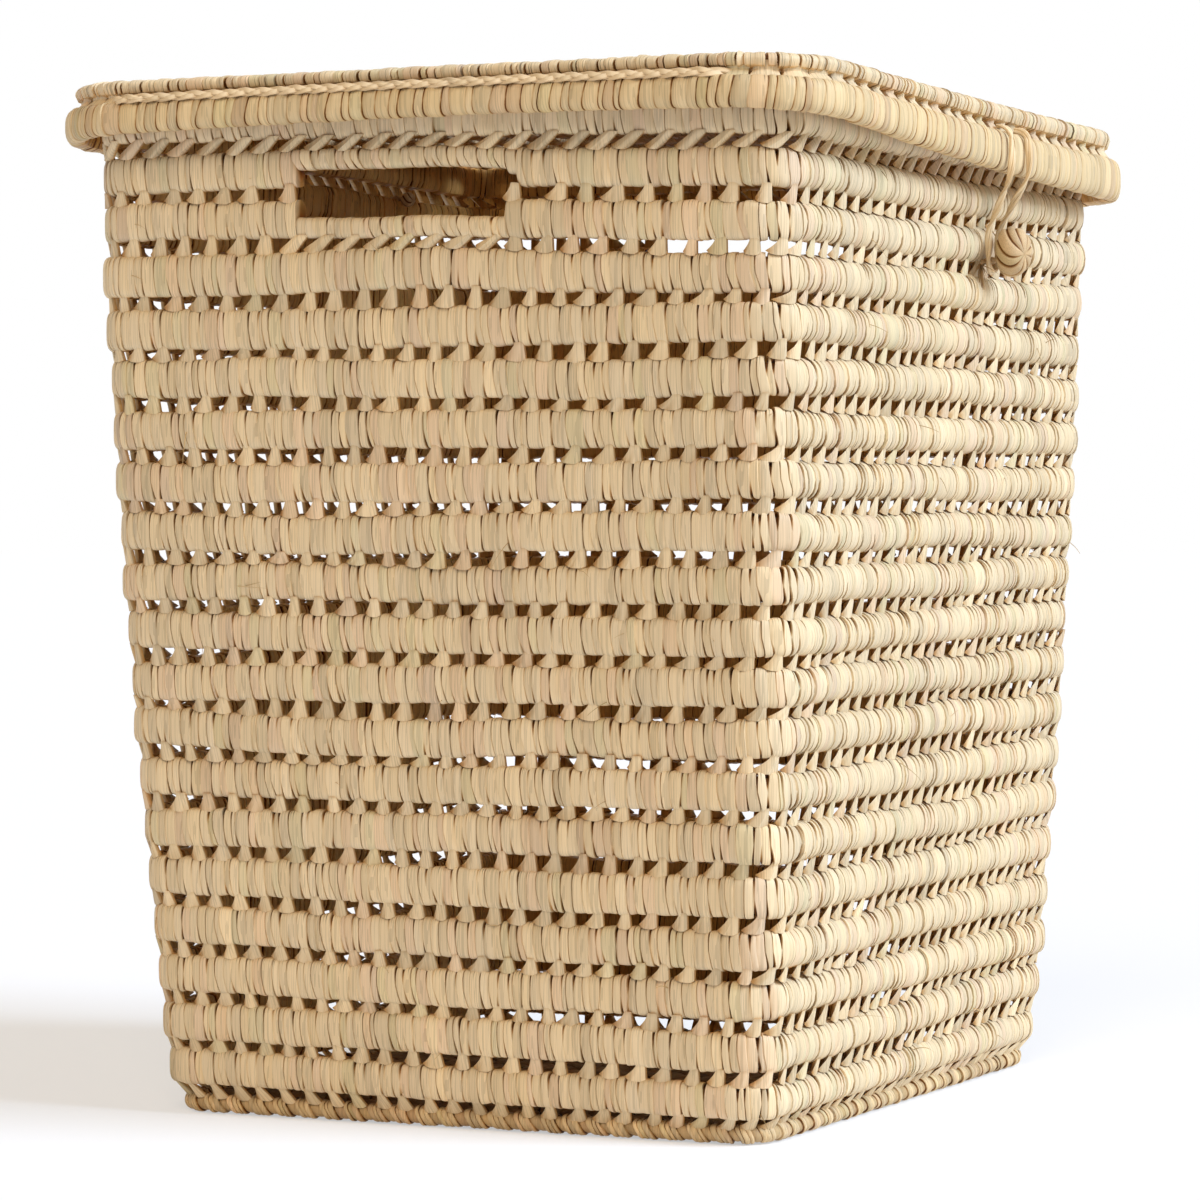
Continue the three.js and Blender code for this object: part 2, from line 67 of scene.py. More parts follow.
def along(s, outline):
    """Points on a rounded rectangle by the way travelled along it, and the way out of it there. Its outline
    is half its width, half its depth and the radius of its corners."""
    half_x, half_y, corner = outline
    side_x = 2 * (half_x - corner)
    side_y = 2 * (half_y - corner)
    arc = corner * math.pi / 2
    lengths = np.array([side_y, arc, side_x, arc] * 2)
    ends = np.cumsum(lengths)
    s = np.mod(s, ends[-1])
    part = np.minimum(np.searchsorted(ends, s, side="right"), 7)
    done = s - (ends - lengths)[part]
    on_arc = part % 2 == 1
    angle = part // 2 * math.pi / 2 + np.where(on_arc, done / corner, 0.0)
    back = np.where(on_arc, 0.0, lengths[part] - done)
    out_x = np.cos(angle)
    out_y = np.sin(angle)
    x = np.array([1, -1, -1, 1])[part // 2] * side_x / 2 + corner * out_x + back * out_y
    y = np.array([1, 1, -1, -1])[part // 2] * side_y / 2 + corner * out_y - back * out_x
    return x, y, out_x, out_y


def place_by(s, outline, outward, z):
    """Places by the way along an outline, the way out of it and the height."""
    x, y, out_x, out_y = along(s, outline)
    return np.stack([x + out_x * outward, y + out_y * outward, z + 0 * x], -1)


def way_round(outline):
    half_x, half_y, corner = outline
    return 4 * (half_x + half_y - 2 * corner) + 2 * math.pi * corner


def eased(share):
    """A share between 0 and 1 that starts and ends gently."""
    share = np.clip(share, 0, 1)
    return share * share * (3 - 2 * share)


def coil_section(thickness, height, roundness):
    """Points round a coil from the middle of its face over its top, and the way out of the coil at each."""

    def power(value, exponent):
        return np.sign(value) * np.abs(value) ** exponent

    across = np.cos(FACE_STEPS)
    upward = np.sin(FACE_STEPS)
    out = thickness / 2 * power(across, 2 / roundness)
    up = height / 2 * power(upward, 2 / roundness)
    lean_out = power(across, 2 - 2 / roundness) / thickness
    lean_up = power(upward, 2 - 2 / roundness) / height
    size = np.hypot(lean_out, lean_up)
    return out, up, lean_out / size, lean_up / size


def leaf_tints(rng, base, count, spread=0.055):
    """One colour for each strip: lighter or darker, now and then a little pink or olive."""
    light = rng.normal(1.0, spread, (count, 1))
    hue = rng.normal(0.0, 0.02, (count, 1)) * np.array([0.4, 0.0, -1.0])
    odd = rng.random((count, 1))
    pink = np.where(odd < 0.15, 1, 0) * np.array([-0.02, -0.07, -0.05])
    olive = np.where(odd > 0.94, 1, 0) * np.array([-0.06, -0.02, -0.06])
    return np.clip(np.array(base) * light * (1 + hue + pink + olive), 0.02, 0.95)


def bound_strips(rng, length, widths, slant, depth, tints, levels=0.0):
    """Strips laid side by side round a coil, each with one edge over the next strip's."""
    count = widths.size
    width = widths * length / widths.sum()
    edges = np.cumsum(width) - width
    lean = slant + rng.normal(0, 0.12, count) * width
    share = np.array([0.0, 0.08, 0.50, 0.92])
    lift = np.array([-1.0, 0.0, 0.55, 0.15])
    # painted shade in the groove under each strip's edge, and a little beside the edge laid over it
    shade_under = np.array([2.4, 0.5, 0.0, 0.0])
    shade_over = np.array([0.0, 0.0, 0.0, 0.3])
    lift = lift + rng.normal(0, 0.4, (count, 1)) * (share - 0.5) * (share > 0)
    level = rng.normal(0, 0.3, (count, 1)) * depth + np.broadcast_to(levels, (count,))[:, None]
    grooves = rng.uniform(0.2, 1.0, (count, 1))
    middle = edges[:, None] + width[:, None] * share
    leans = lean[:, None] + (np.roll(lean, -1) - lean)[:, None] * share
    lifts = np.where(share == 0, lift * grooves, lift) * depth + level
    return {
        "length": length,
        "top": (middle + leans / 2).ravel(),
        "bottom": (middle - leans / 2).ravel(),
        "lift": lifts.ravel(),
        "opens_high": np.zeros(middle.size),
        "opens_low": np.zeros(middle.size),
        "groove": np.tile(share == 0, count),
        "painted_shade": (grooves * shade_under + np.roll(grooves, -1) * shade_over).ravel(),
        "tint": np.repeat(tints, share.size, axis=0),
    }


def closely_bound(rng, outline, strips, base, spread=0.055, uneven=(0.7, 1.3)):
    """Strips all round an outline. strips gives their usual width, their slant and their depth."""
    wide, slant, depth = strips
    length = way_round(outline)
    widths = rng.uniform(*uneven, max(3, int(round(length / wide))))
    tints = leaf_tints(rng, base, widths.size, spread)
    return bound_strips(rng, length, widths, slant, depth, tints)


def corner_points(mesh):
    """The number of the point at each corner of a mesh's faces."""
    corners = np.empty(len(mesh.loops), dtype=np.int32)
    mesh.loops.foreach_get("vertex_index", corners)
    return corners


def colour_leaf(mesh, tint, painted_shade):
    """Keeps each corner's colour in a leaf mesh, and how much painted shade each point gets in a fold, a
    groove, a slit or behind.
    """
    colour = np.ones((len(mesh.loops), 4))
    colour[:, :3] = tint
    mesh.color_attributes.new("leaf_tint", "FLOAT_COLOR", "CORNER").data.foreach_set("color", colour.ravel())
    mesh.attributes.new("leaf_painted_shade", "FLOAT", "POINT").data.foreach_set("value", painted_shade)


def leaf_coil(name, wraps, section, put, hold=1.0, shade_from=-0.3):
    """A ring of coil whose skin follows the wrapped strips: a flat sheet, rolled round the coil and sewn
    shut. put turns a way along, out and up into a place. Painted shade darkens the coil where it lies
    further in than the given share of the way out, and in its grooves and slits."""
    columns = wraps["top"].size
    steps = FACE_STEPS.size
    bpy.ops.mesh.primitive_grid_add(x_subdivisions=columns, y_subdivisions=steps, size=1)
    coil = bpy.context.object
    coil.name = coil.data.name = name
    mesh = coil.data
    flat = np.empty(len(mesh.vertices) * 3)
    mesh.vertices.foreach_get("co", flat)
    column = np.rint((flat[0::3] + 0.5) * columns).astype(int)
    step = np.rint((flat[1::3] + 0.5) * steps).astype(int)
    out, up, lean_out, lean_up = section
    rise = up / np.ptp(up) + 0.5
    bend = eased(rise / hold)
    high = np.clip((rise - 0.52) / 0.40, 0, 1)
    low = np.clip((0.48 - rise) / 0.40, 0, 1)
    opening = wraps["opens_high"][:, None] * high + wraps["opens_low"][:, None] * low
    sunk = np.abs(opening) * wraps["groove"][:, None]
    s = wraps["bottom"][:, None] + (wraps["top"] - wraps["bottom"])[:, None] * bend + opening
    edgeward = np.abs(2 * rise - 1)
    lift = wraps["lift"][:, None] - np.minimum(3 * sunk, 0.0028)
    place = put(s, out + lift * lean_out, up + lift * lean_up)
    at = (column % columns, step % steps)
    mesh.vertices.foreach_set("co", place[at].ravel())
    corners = corner_points(mesh)
    run = np.cumsum(np.hypot(np.diff(out, append=out[0]), np.diff(up, append=up[0])))
    u = s[at] + column // columns * wraps["length"]
    v = np.concatenate([[0], run])[step] - np.where(step > steps // 2, run[-1], 0)
    v = np.where(step == steps, 0, v)
    mesh.uv_layers.active.data.foreach_set("uv", np.stack([u, v], -1)[corners].ravel())
    first = column[corners].reshape(-1, 4).min(axis=1)
    # painted shade: the back of the coil is tinted darker and warmer, and grooves and slits get more painted
    # shade towards the coil's edges, on its back and where a slit sinks deeper
    behind = np.clip((shade_from - out / out.max()) * 1.8, 0, 1)
    inner = behind[at[1]][corners].reshape(-1, 4, 1)
    tint = wraps["tint"][first][:, None, :] * (1 - inner * (1 - np.array(BEHIND_SHADE)))
    painted_shade = wraps["painted_shade"][:, None] * (0.4 + 0.6 * edgeward) * (1 + 0.8 * behind) + 1900 * sunk
    colour_leaf(mesh, tint.reshape(-1, 3), painted_shade[at])
    bpy.ops.object.mode_set(mode="EDIT")
    bpy.ops.mesh.select_all(action="SELECT")
    bpy.ops.mesh.remove_doubles(threshold=1e-7)
    bpy.ops.object.mode_set(mode="OBJECT")
    bpy.ops.object.shade_smooth_by_angle(angle=math.radians(40))
    return coil


def add_node(tree, kind, values, **settings):
    """Adds a node to a material. values tells what each of its inputs is set to or linked with."""
    node = tree.nodes.new("ShaderNode" + kind)
    for key, value in settings.items():
        setattr(node, key, value)
    for key, value in values.items():
        if isinstance(value, bpy.types.NodeSocket):
            tree.links.new(value, node.inputs[key])
        else:
            node.inputs[key].default_value = value
    return node


def leaf_material(name, fold_shade, roughness):
    """Dry leaf: the strip's own colour with fine streaks and lines along it. Painted shade darkens streaks
    near the coil's edges, like slits, and darkens and warms the leaf in folds, grooves, slits and on hidden
    faces."""
    material = bpy.data.materials.new(name)
    material.use_nodes = True
    tree = material.node_tree
    tint = add_node(tree, "Attribute", {}, attribute_name="leaf_tint").outputs["Color"]
    depth = add_node(tree, "Attribute", {}, attribute_name="leaf_painted_shade").outputs["Fac"]
    uv = add_node(tree, "UVMap", {}).outputs["UV"]
    across = add_node(tree, "SeparateXYZ", {"Vector": uv}).outputs["Y"]
    grain = add_node(tree, "VectorMath", {0: uv, 1: (1100, 28, 1)}, operation="MULTIPLY").outputs["Vector"]
    streak = add_node(tree, "TexNoise", {"Vector": grain, "Scale": 1.0, "Detail": 3.0}).outputs["Fac"]
    pleat = add_node(tree, "TexNoise", {"Vector": grain, "Scale": 0.32, "Detail": 1.0}).outputs["Fac"]

    def ranged(value, lowest, highest, least, most):
        values = {"Value": value, "From Min": lowest, "From Max": highest, "To Min": least, "To Max": most}
        return add_node(tree, "MapRange", values).outputs["Result"]

    def math_of(operation, *terms, **settings):
        node = add_node(tree, "Math", dict(enumerate(terms)), operation=operation, **settings)
        return node.outputs["Value"]

    streaks = ranged(streak, 0.3, 0.7, 0.89, 1.05)
    line = math_of("COMPARE", pleat, 0.5, 0.02)
    lined = math_of("MULTIPLY_ADD", line, -0.17, streaks)
    # painted shade: streaks near the coil's top and bottom edges are darkened, standing in for shaded slits
    # there
    near_edge = ranged(across, 0.0040, 0.0090, 0.0, -0.55)
    crease = ranged(streak, 0.58, 0.65, 0.0, 1.0)
    creased = math_of("MULTIPLY_ADD", crease, near_edge, lined)
    leaf = add_node(tree, "VectorMath", {0: tint, "Scale": creased}, operation="SCALE")
    # painted shade: this ramp darkens and warms the leaf by its painted shade depth
    shade_ramp = add_node(tree, "ValToRGB", {"Fac": math_of("POWER", depth, 1.3, use_clamp=True)})
    stops = shade_ramp.color_ramp.elements
    stops[0].color = (1, 1, 1, 1)
    stops[1].color = (*fold_shade, 1)
    stops.new(0.2).color = (0.86, 0.81, 0.75, 1)
    stops.new(0.55).color = (*(math.sqrt(c) * 1.28 for c in fold_shade), 1)
    mixed = {"Factor": 1.0, "A": leaf.outputs["Vector"], "B": shade_ramp.outputs["Color"]}
    skin = add_node(tree, "Mix", mixed, data_type="RGBA", blend_type="MULTIPLY")
    bump = add_node(tree, "Bump", {"Height": streak, "Strength": 0.3, "Distance": 0.0005})
    shader = tree.nodes["Principled BSDF"]
    shader.inputs["Roughness"].default_value = roughness
    shader.inputs["Specular IOR Level"].default_value = 0.2
    tree.links.new(skin.outputs["Result"], shader.inputs["Base Color"])
    tree.links.new(bump.outputs["Normal"], shader.inputs["Normal"])
    return material


def pick(pieces):
    bpy.ops.object.select_all(action="DESELECT")
    for piece in pieces:
        piece.select_set(True)
    bpy.context.view_layer.objects.active = pieces[0]


def join_up(pieces, name):
    """Joins pieces that are sewn into one, and gives the result its name."""
    pick(pieces)
    bpy.ops.object.join()
    whole = bpy.context.object
    whole.name = whole.data.name = name
    return whole


def fit(piece, material, body, slot, *nodes):
    """Gives a piece its leaf and its body, and hides the solid that it stands for."""
    piece.data.materials.clear()
    piece.data.materials.append(material)
    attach(piece, body)
    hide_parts(*nodes)


brown_fibre = leaf_material("brown palm fibre", FIBRE_FOLD_SHADE, FIBRE_ROUGHNESS)
mat_coils = []
mat_section = coil_section(MAT_THICKNESS, MAT_COIL_WIDTH, MAT_ROUNDNESS)
for ring in range(int(MAT_OUTLINE[1] // MAT_COIL_WIDTH)):
    half_x, half_y, corner = np.array(MAT_OUTLINE) - ring * MAT_COIL_WIDTH
    outline = (half_x, half_y, max(corner, min(half_y, MAT_COIL_WIDTH) * 0.95))

    def on_floor(s, out, up, outline=outline):
        outward = np.minimum(up - MAT_COIL_WIDTH / 2, -MAT_CLEARANCE)
        z = np.maximum(out + MAT_THICKNESS / 2, MAT_CLEARANCE)
        return place_by(s, outline, outward, z)

    rng = default_rng(400 + ring)
    wraps = closely_bound(rng, outline, MAT_STRIPS, FIBRE_BROWN_AND_SHADE, FIBRE_UNEVEN)
    coil = leaf_coil("mat_coil", wraps, mat_section, on_floor)
    coil.data.flip_normals()
    mat_coils.append(coil)
floor_mat = join_up(mat_coils, "floor_mat")
fit(floor_mat, brown_fibre, "basket", "leaf_brown", "base_mat")

# Base rim: one thin coil of bare stems round the foot of the wall. At each stitch a few slanting strips bind
# it, and between them the stems show. The lowest ties hold it to the wall.
RIM_OUTLINE = (0.1929, 0.1744, 0.024)
RIM_HEIGHT = 0.0098
RIM_THICKNESS = 0.011
RIM_ROUNDNESS = 2.2
RIM_LIFT = 0.0003
RIM_STITCH = (3.3, 3.0, 3.4, 5.6)
RIM_SLANT = -0.0035
RIM_STRIP_DEPTH = 0.0007
STEM_LEVEL = -0.0011
BINDING_LEVEL = -0.0002
LEAST_HEIGHT = 0.0001
STITCHES = 102
STEM_TAN = (0.52, 0.36, 0.18)
BINDING_STRAW = (0.66, 0.49, 0.27)
BINDING_UNEVEN = 0.12
# painted shade: the leaf is multiplied towards this colour where it lies deep in a fold, groove or slit, or
# behind
LEAF_FOLD_SHADE = (0.21, 0.10, 0.03)
LEAF_ROUGHNESS = 0.5

dry_leaf = leaf_material("dry palm leaf", LEAF_FOLD_SHADE, LEAF_ROUGHNESS)


def stand(outline, thickness, middle):
    """Places a coil that stands on its edge, its face outwards, in the outline of the wall."""

    def put(s, out, up):
        z = np.maximum(middle + up, LEAST_HEIGHT)
        return place_by(s, outline, out - thickness / 2, z)

    return put


rng = default_rng(500)
bare = np.arange(STITCHES * len(RIM_STITCH)) % len(RIM_STITCH) == len(RIM_STITCH) - 1
widths = np.tile(RIM_STITCH, STITCHES) * rng.uniform(0.7, 1.3, bare.size)
stem_tints = leaf_tints(rng, STEM_TAN, bare.size)
binding_tints = leaf_tints(rng, BINDING_STRAW, bare.size, BINDING_UNEVEN)
tints = np.where(bare[:, None], stem_tints, binding_tints)
levels = np.where(bare, STEM_LEVEL, BINDING_LEVEL)
wraps = bound_strips(rng, way_round(RIM_OUTLINE), widths, RIM_SLANT, RIM_STRIP_DEPTH, tints, levels)
put = stand(RIM_OUTLINE, RIM_THICKNESS, RIM_HEIGHT / 2 + RIM_LIFT)
foot_rim = leaf_coil("foot_rim", wraps, coil_section(RIM_THICKNESS, RIM_HEIGHT, RIM_ROUNDNESS), put)
fit(foot_rim, dry_leaf, "basket", "leaf_tan", "base_rim")

# Wall courses: nineteen coils of stems, each wrapped all round with palm leaf. At every stitch a plain strip
# narrows downwards into a tie that crosses the open gap and spreads over the course below, whose own leaf
# fans out under it.
COURSE_COUNT = 19
COURSE_PITCH = 0.026
COURSE_HEIGHT = 0.0196
COURSE_THICKNESS = 0.011
COURSE_ROUNDNESS = 3.8
COURSE_UNEVEN = 0.0008
COURSE_SHADE_FROM = 0.55
FRONT_ROUNDER = 0.0034
WALL_CORNER = 0.024
MOUTH_HALF_X = 0.2225
MOUTH_HALF_Y = 0.204
MOUTH_HEIGHT = 0.5102
LEAN = 0.009
BELLY = 0.017
SLIT_HIGH = 0.0006
SLIT_LOW = 0.0005
SLIT_DEPTH = 0.0011
TIE_STRIP_RAISED = 0.0003
STRIP_UNEVEN = 0.00016
STRIP_TILT = 0.00045
STRIP_SWELL = 0.0002
STRIP_HOLD = 0.62
TIE_SET = 0.19
TIE_LEAN = 0.55
TIE_HALF = 0.138
SIDE_FIN = 0.40
FRONT_FIN = 0.64
TIE_HOLD = 0.0016
TIE_FOOT = 0.0014
TIE_DEPTH = 0.0022
SLOT_HALF = 0.0645
SLOT_ACROSS = 0.015
SLOT_CUT = 0.0088
SLOT_END = 0.003
SLOT_COURSES = (18, 19)
SETTLED_AT = (0.0, 0.03, 0.11, 0.15, 0.24, 0.30, 0.35, 0.40, 0.43, 0.455, 0.51)
SETTLED_SIDE = (0, -0.0038, -0.0042, -0.0034, -0.0034, -0.0038, -0.0022, -0.0012, 0.0008, 0.0032, 0.0028)
SETTLED_FRONT = (0, -0.004, -0.0041, -0.0019, -0.0019, -0.0032, -0.0035, -0.004, -0.0043, -0.0046, -0.0054)
RIGHT_LOWER = 0.008
BACK_HIGHER = 0.010
STRAW = (0.745, 0.588, 0.362)
LOOSE_FIBRES = 6
FIBRE_SIZE = (0.00035, 0.00015)
FIBRE_REACH = (0.006, 0.018)
FRAYED = (0.55, 0.38, 0.18)
FRAYED_UNEVEN = 0.15


def settled(x, y, z):
    """How the courses have settled: low at the front and the right, drawn up at the top of the left side."""
    right = RIGHT_LOWER * np.maximum(x, 0) * np.clip(z / 0.5, 0, 1)
    back = BACK_HIGHER * np.maximum(y, 0) * np.clip(z / 0.03, 0, 1)
    side = np.interp(z, SETTLED_AT, SETTLED_SIDE) - right
    front = np.interp(z, SETTLED_AT, SETTLED_FRONT)
    drop = side + (front - side) * np.clip(-y / 0.2, 0, 1) + back
    return z + drop


def stitched_strips(rng, length, stitches, shift):
    """Wrapping of one course: for each stitch a strip that runs down into its tie, then two under the foot of
    the tie above. Slits gape between them, most beside that foot."""
    shape = (stitches, 3)
    pitch = length / stitches
    place = np.arange(stitches) + shift
    # the bottom of the slit, then the strip from its one edge over its middle to the other
    share = np.array([0.0, 0.0, 0.0, 0.5, 1.0])
    aside = np.array([-0.00008, 0.00008, 0.0003, 0.0, -0.0003])
    in_slit = np.array([True, True, False, False, False])
    wide_top = np.array([0.38, 0.33, 0.29]) * rng.uniform(0.55, 1.45, shape)
    wide_bottom = wide_top * np.array([0.85, 1.1, 1.1]) * rng.uniform(0.8, 1.2, shape)
    wander = rng.normal(0, 0.05, (stitches, 1))

    def edges(wide, start):
        wide = wide / wide.sum(axis=1, keepdims=True)
        first = start + wander + rng.normal(0, 0.03, (stitches, 1))
        end = np.roll(first, -1, axis=0) + 1
        return np.concatenate([first, first + np.cumsum(wide, axis=1) * (end - first)], axis=1)

    def columns(at):
        """The ways along the course between the edges of its strips."""
        wide = (at[:, 1:] - at[:, :-1])[..., None]
        return ((place[:, None, None] + (at[:, :-1, None] + wide * share + aside / pitch)) * pitch).ravel()

    def pushed(opens):
        """How far a slit pushes the strips beside it apart."""
        after = np.roll(opens.ravel(), -1).reshape(shape)
        return (np.sign(aside) * np.where(share == 1, after[..., None], opens[..., None])).ravel()

    top = edges(wide_top, -0.10)
    bottom = edges(wide_bottom, 0.02)
    groove = np.where(rng.random(shape) < 0.42, rng.uniform(0.35, 1.0, shape), 0.1)[..., None]
    gapes = np.where(rng.random(shape) < 0.6, rng.uniform(0.3, 1, shape), 0.05)
    opens_high = SLIT_HIGH * np.array([0.4, 1.0, 0.9]) * gapes
    opens_low = SLIT_LOW * np.where(rng.random(shape) < 0.45, rng.uniform(0.3, 1, shape), 0.05)
    level = rng.normal(0, STRIP_UNEVEN, shape) + np.array([TIE_STRIP_RAISED, 0, 0])
    tilt = rng.normal(0, STRIP_TILT, shape)
    raised = level[..., None] + tilt[..., None] * (share - 0.5) + np.where(share == 0.5, STRIP_SWELL, 0.0)
    tints = np.stack([leaf_tints(rng, STRAW, stitches) for _ in range(3)], 1)
    middle = (place[:, None] + (top[:, :-1] + top[:, 1:]) / 2) * pitch
    return {
        "length": length,
        "middle": np.repeat(middle, share.size),
        "top": columns(top),
        "bottom": columns(bottom),
        "lift": np.where(in_slit, -SLIT_DEPTH * groove, raised).ravel(),
        "opens_high": pushed(opens_high),
        "opens_low": pushed(opens_low),
        "groove": np.tile(in_slit, 3 * stitches),
        # painted shade in the slits between strips
        "painted_shade": np.where(in_slit, groove, 0.0).ravel(),
        "tint": np.repeat(tints, share.size, axis=1).reshape(-1, 3),
        "tie_tint": tints[:, 0],
        "tie_share": (place + wander[:, 0] + TIE_SET) / stitches,
    }


def waves(rng, size):
    """A gentle unevenness along a course, the same after each full turn."""
    turns = np.array([2, 3, 5, 8, 13, 21])
    strength = rng.normal(0, size, turns.size) / np.sqrt(turns)
    phase = rng.uniform(0, 2 * math.pi, turns.size)
    parts = list(zip(strength, turns, phase))
    return lambda share: sum(a * np.sin(2 * math.pi * n * share + p) for a, n, p in parts)


def slot_share(x, y):
    """1 in the hand slots of the two side walls, 0 away from them."""
    inside = eased((SLOT_HALF - np.abs(y - SLOT_ACROSS)) / SLOT_END)
    return inside * (np.abs(x) > MOUTH_HALF_X - 0.02)


def course_place(course):
    """Places the skin of one course in the wall, thinned to a band at the hand slots."""

    def put(s, out, up):
        share = s / course["length"]
        x, y, out_x, out_y = along(s, course["outline"])
        half = course["height"] / 2
        rounder = FRONT_ROUNDER * np.clip(-out_y, 0, 1) ** 12 * (up / half) ** 2 * (out > 0)
        inward = out - course["thickness"] / 2 + course["sway"](share) - rounder
        middle_x, middle_y, _, _ = along(course["wraps"]["middle"][:, None], course["outline"])
        thin = 1 - course["cut"] * slot_share(middle_x, middle_y) / course["height"]
        up = half - (half - up) * thin if course["cut_below"] else -half + (up + half) * thin
        z = settled(x, y, course["middle"] + up + course["dip"](share))
        return np.stack([x + out_x * inward, y + out_y * inward, z], -1)

    return put


def make_course(number, middle, height, thickness, seed):
    """All that is known of one course: its outline in the wall, its sizes, unevenness and wrapping."""
    rng = default_rng(seed)
    down = max(0.0, 1 - middle / MOUTH_HEIGHT)
    inset = LEAN * down + BELLY * down * down
    outline = (MOUTH_HALF_X - inset, MOUTH_HALF_Y - inset, WALL_CORNER)
    length = way_round(outline)
    wraps = stitched_strips(rng, length, STITCHES, number % 2 / 2)
    _, _, _, out_y = along(wraps["middle"], outline)
    wraps["opens_high"] *= 1 + 1.6 * np.abs(out_y)
    wraps["opens_low"] *= 1 + 1.2 * np.abs(out_y)
    return {
        "outline": outline,
        "length": length,
        "middle": middle,
        "height": height,
        "thickness": thickness,
        "dip": waves(rng, COURSE_UNEVEN),
        "sway": waves(rng, COURSE_UNEVEN),
        "cut": SLOT_CUT if number in SLOT_COURSES else 0.0,
        "cut_below": number == SLOT_COURSES[1],
        "wraps": wraps,
    }


# one tie as a small closed block of leaf, a few faces across and along
bpy.ops.mesh.primitive_grid_add(x_subdivisions=5, y_subdivisions=4, size=1)
bpy.ops.object.mode_set(mode="EDIT")
bpy.ops.mesh.select_all(action="SELECT")
bpy.ops.mesh.extrude_region_move(TRANSFORM_OT_translate={"value": (0, 0, -1)})
bpy.ops.mesh.select_all(action="SELECT")
bpy.ops.mesh.normals_make_consistent(inside=False)
bpy.ops.object.mode_set(mode="OBJECT")
tie_block = bpy.context.object
tie_points = np.array([vertex.co[:] for vertex in tie_block.data.vertices])
TIE_FACES = np.array([list(face.vertices) for face in tie_block.data.polygons])
TIE_ACROSS = tie_points[:, 0] + 0.5
TIE_RISE = tie_points[:, 1] + 0.5
TIE_BEHIND = tie_points[:, 2] < -0.5
TIE_COLUMN = np.rint(TIE_ACROSS * 5).astype(int)
bpy.data.objects.remove(tie_block)


def leaf_mesh(name, places, faces, tints, uv, painted_shade=0.0):
    """Many copies of one small leaf form in one mesh, each with its own colour, with painted shade where it
    folds.
    """
    copies, points, _ = places.shape
    all_faces = [[point + copy * points for point in face] for copy in range(copies) for face in faces]
    mesh = bpy.data.meshes.new(name)
    mesh.from_pydata(places.reshape(-1, 3).tolist(), [], all_faces)
    corners = corner_points(mesh)
    mesh.uv_layers.new(name="UVMap").data.foreach_set("uv", uv.reshape(-1, 2)[corners].ravel())
    tint = np.broadcast_to(tints, places.shape).reshape(-1, 3)[corners]
    colour_leaf(mesh, tint, np.broadcast_to(painted_shade, (copies, points)).ravel())
    piece = bpy.data.objects.new(name, mesh)
    bpy.context.collection.objects.link(piece)
    pick([piece])
    bpy.ops.object.shade_smooth_by_angle(angle=math.radians(30))
    return piece


# painted shade: on the back and along the top of each tie; the back is also tinted darker and warmer
TIE_SHADE = np.where(TIE_BEHIND | (TIE_RISE > 0.9), 0.3, 0.0)
TIE_BACK_SHADE = np.where(TIE_BEHIND[:, None], BEHIND_SHADE, 1.0)


def tie_forms(rng, count, pitch, fin, lean):
    """Ties before they are placed: how far each point lies along, up and out. One edge runs straight down,
    the other spreads to a fin over the lower course, where its tip is folded under."""
    a, w = TIE_ACROSS, TIE_RISE
    lean = np.broadcast_to(lean, (count,))[:, None]
    fin = rng.uniform(0.5, 1.3, (count, 1)) * np.broadcast_to(fin, (count,))[:, None] * (1 - lean)
    half = TIE_HALF * rng.uniform(0.85, 1.15, (count, 1)) * (1.15 - 0.25 * fin) + lean * 0.10
    left = -half - fin * (1 - w) ** 1.6 + lean * (w - 0.45)
    right = half + rng.uniform(-0.02, 0.05, (count, 1)) * (1 - w) + lean * (w - 0.45)
    left = np.where(TIE_BEHIND, lean * (w - 0.45) - 0.8 * half, left)
    along_wall = (left + (right - left) * a) * pitch
    hollow = 0.0038 - 0.0003 * np.clip(1 - w / 0.5, 0, 1) + 0.0004 * np.clip(w / 0.5 - 1, 0, 1)
    crown = (0.0006 + 0.0014 * lean + 0.0007 * (1 - w)) * (1 - (2 * a - 1) ** 2)
    pleats = rng.uniform(-0.0005, 0.0005, (count, 6))[:, TIE_COLUMN] * (1.1 - w)
    out = np.where(TIE_BEHIND, hollow - TIE_DEPTH, hollow + crown + pleats)
    out = out + rng.normal(0, 0.0002, (count, 1))
    tip = 0.0011 * (1 - a) ** 2 + 0.0013 * (2 * a - 1) ** 4
    tip = (tip + rng.uniform(-0.0004, 0.0004, (count, 1))) * (1 - w)
    # painted shade in the tie's creases and under its folded tip
    creased = rng.uniform(0.0, 0.6, (count, 6))[:, TIE_COLUMN] ** 2 * (1 - w) * ~TIE_BEHIND
    under_tip = 0.7 * (1 - a) ** 4 * (1 - w) ** 2 * ~TIE_BEHIND
    return along_wall, tip, out, TIE_SHADE + creased + under_tip


def slot_end_shares(course):
    """How far round the course, as a share of it, the ends of the two hand slots lie."""
    across = SLOT_ACROSS + np.array([-1, 1]) * (SLOT_HALF + 0.001)
    before = course["outline"][1] - WALL_CORNER
    return np.concatenate([(before + across) / course["length"], 0.5 + (before - across) / course["length"]])


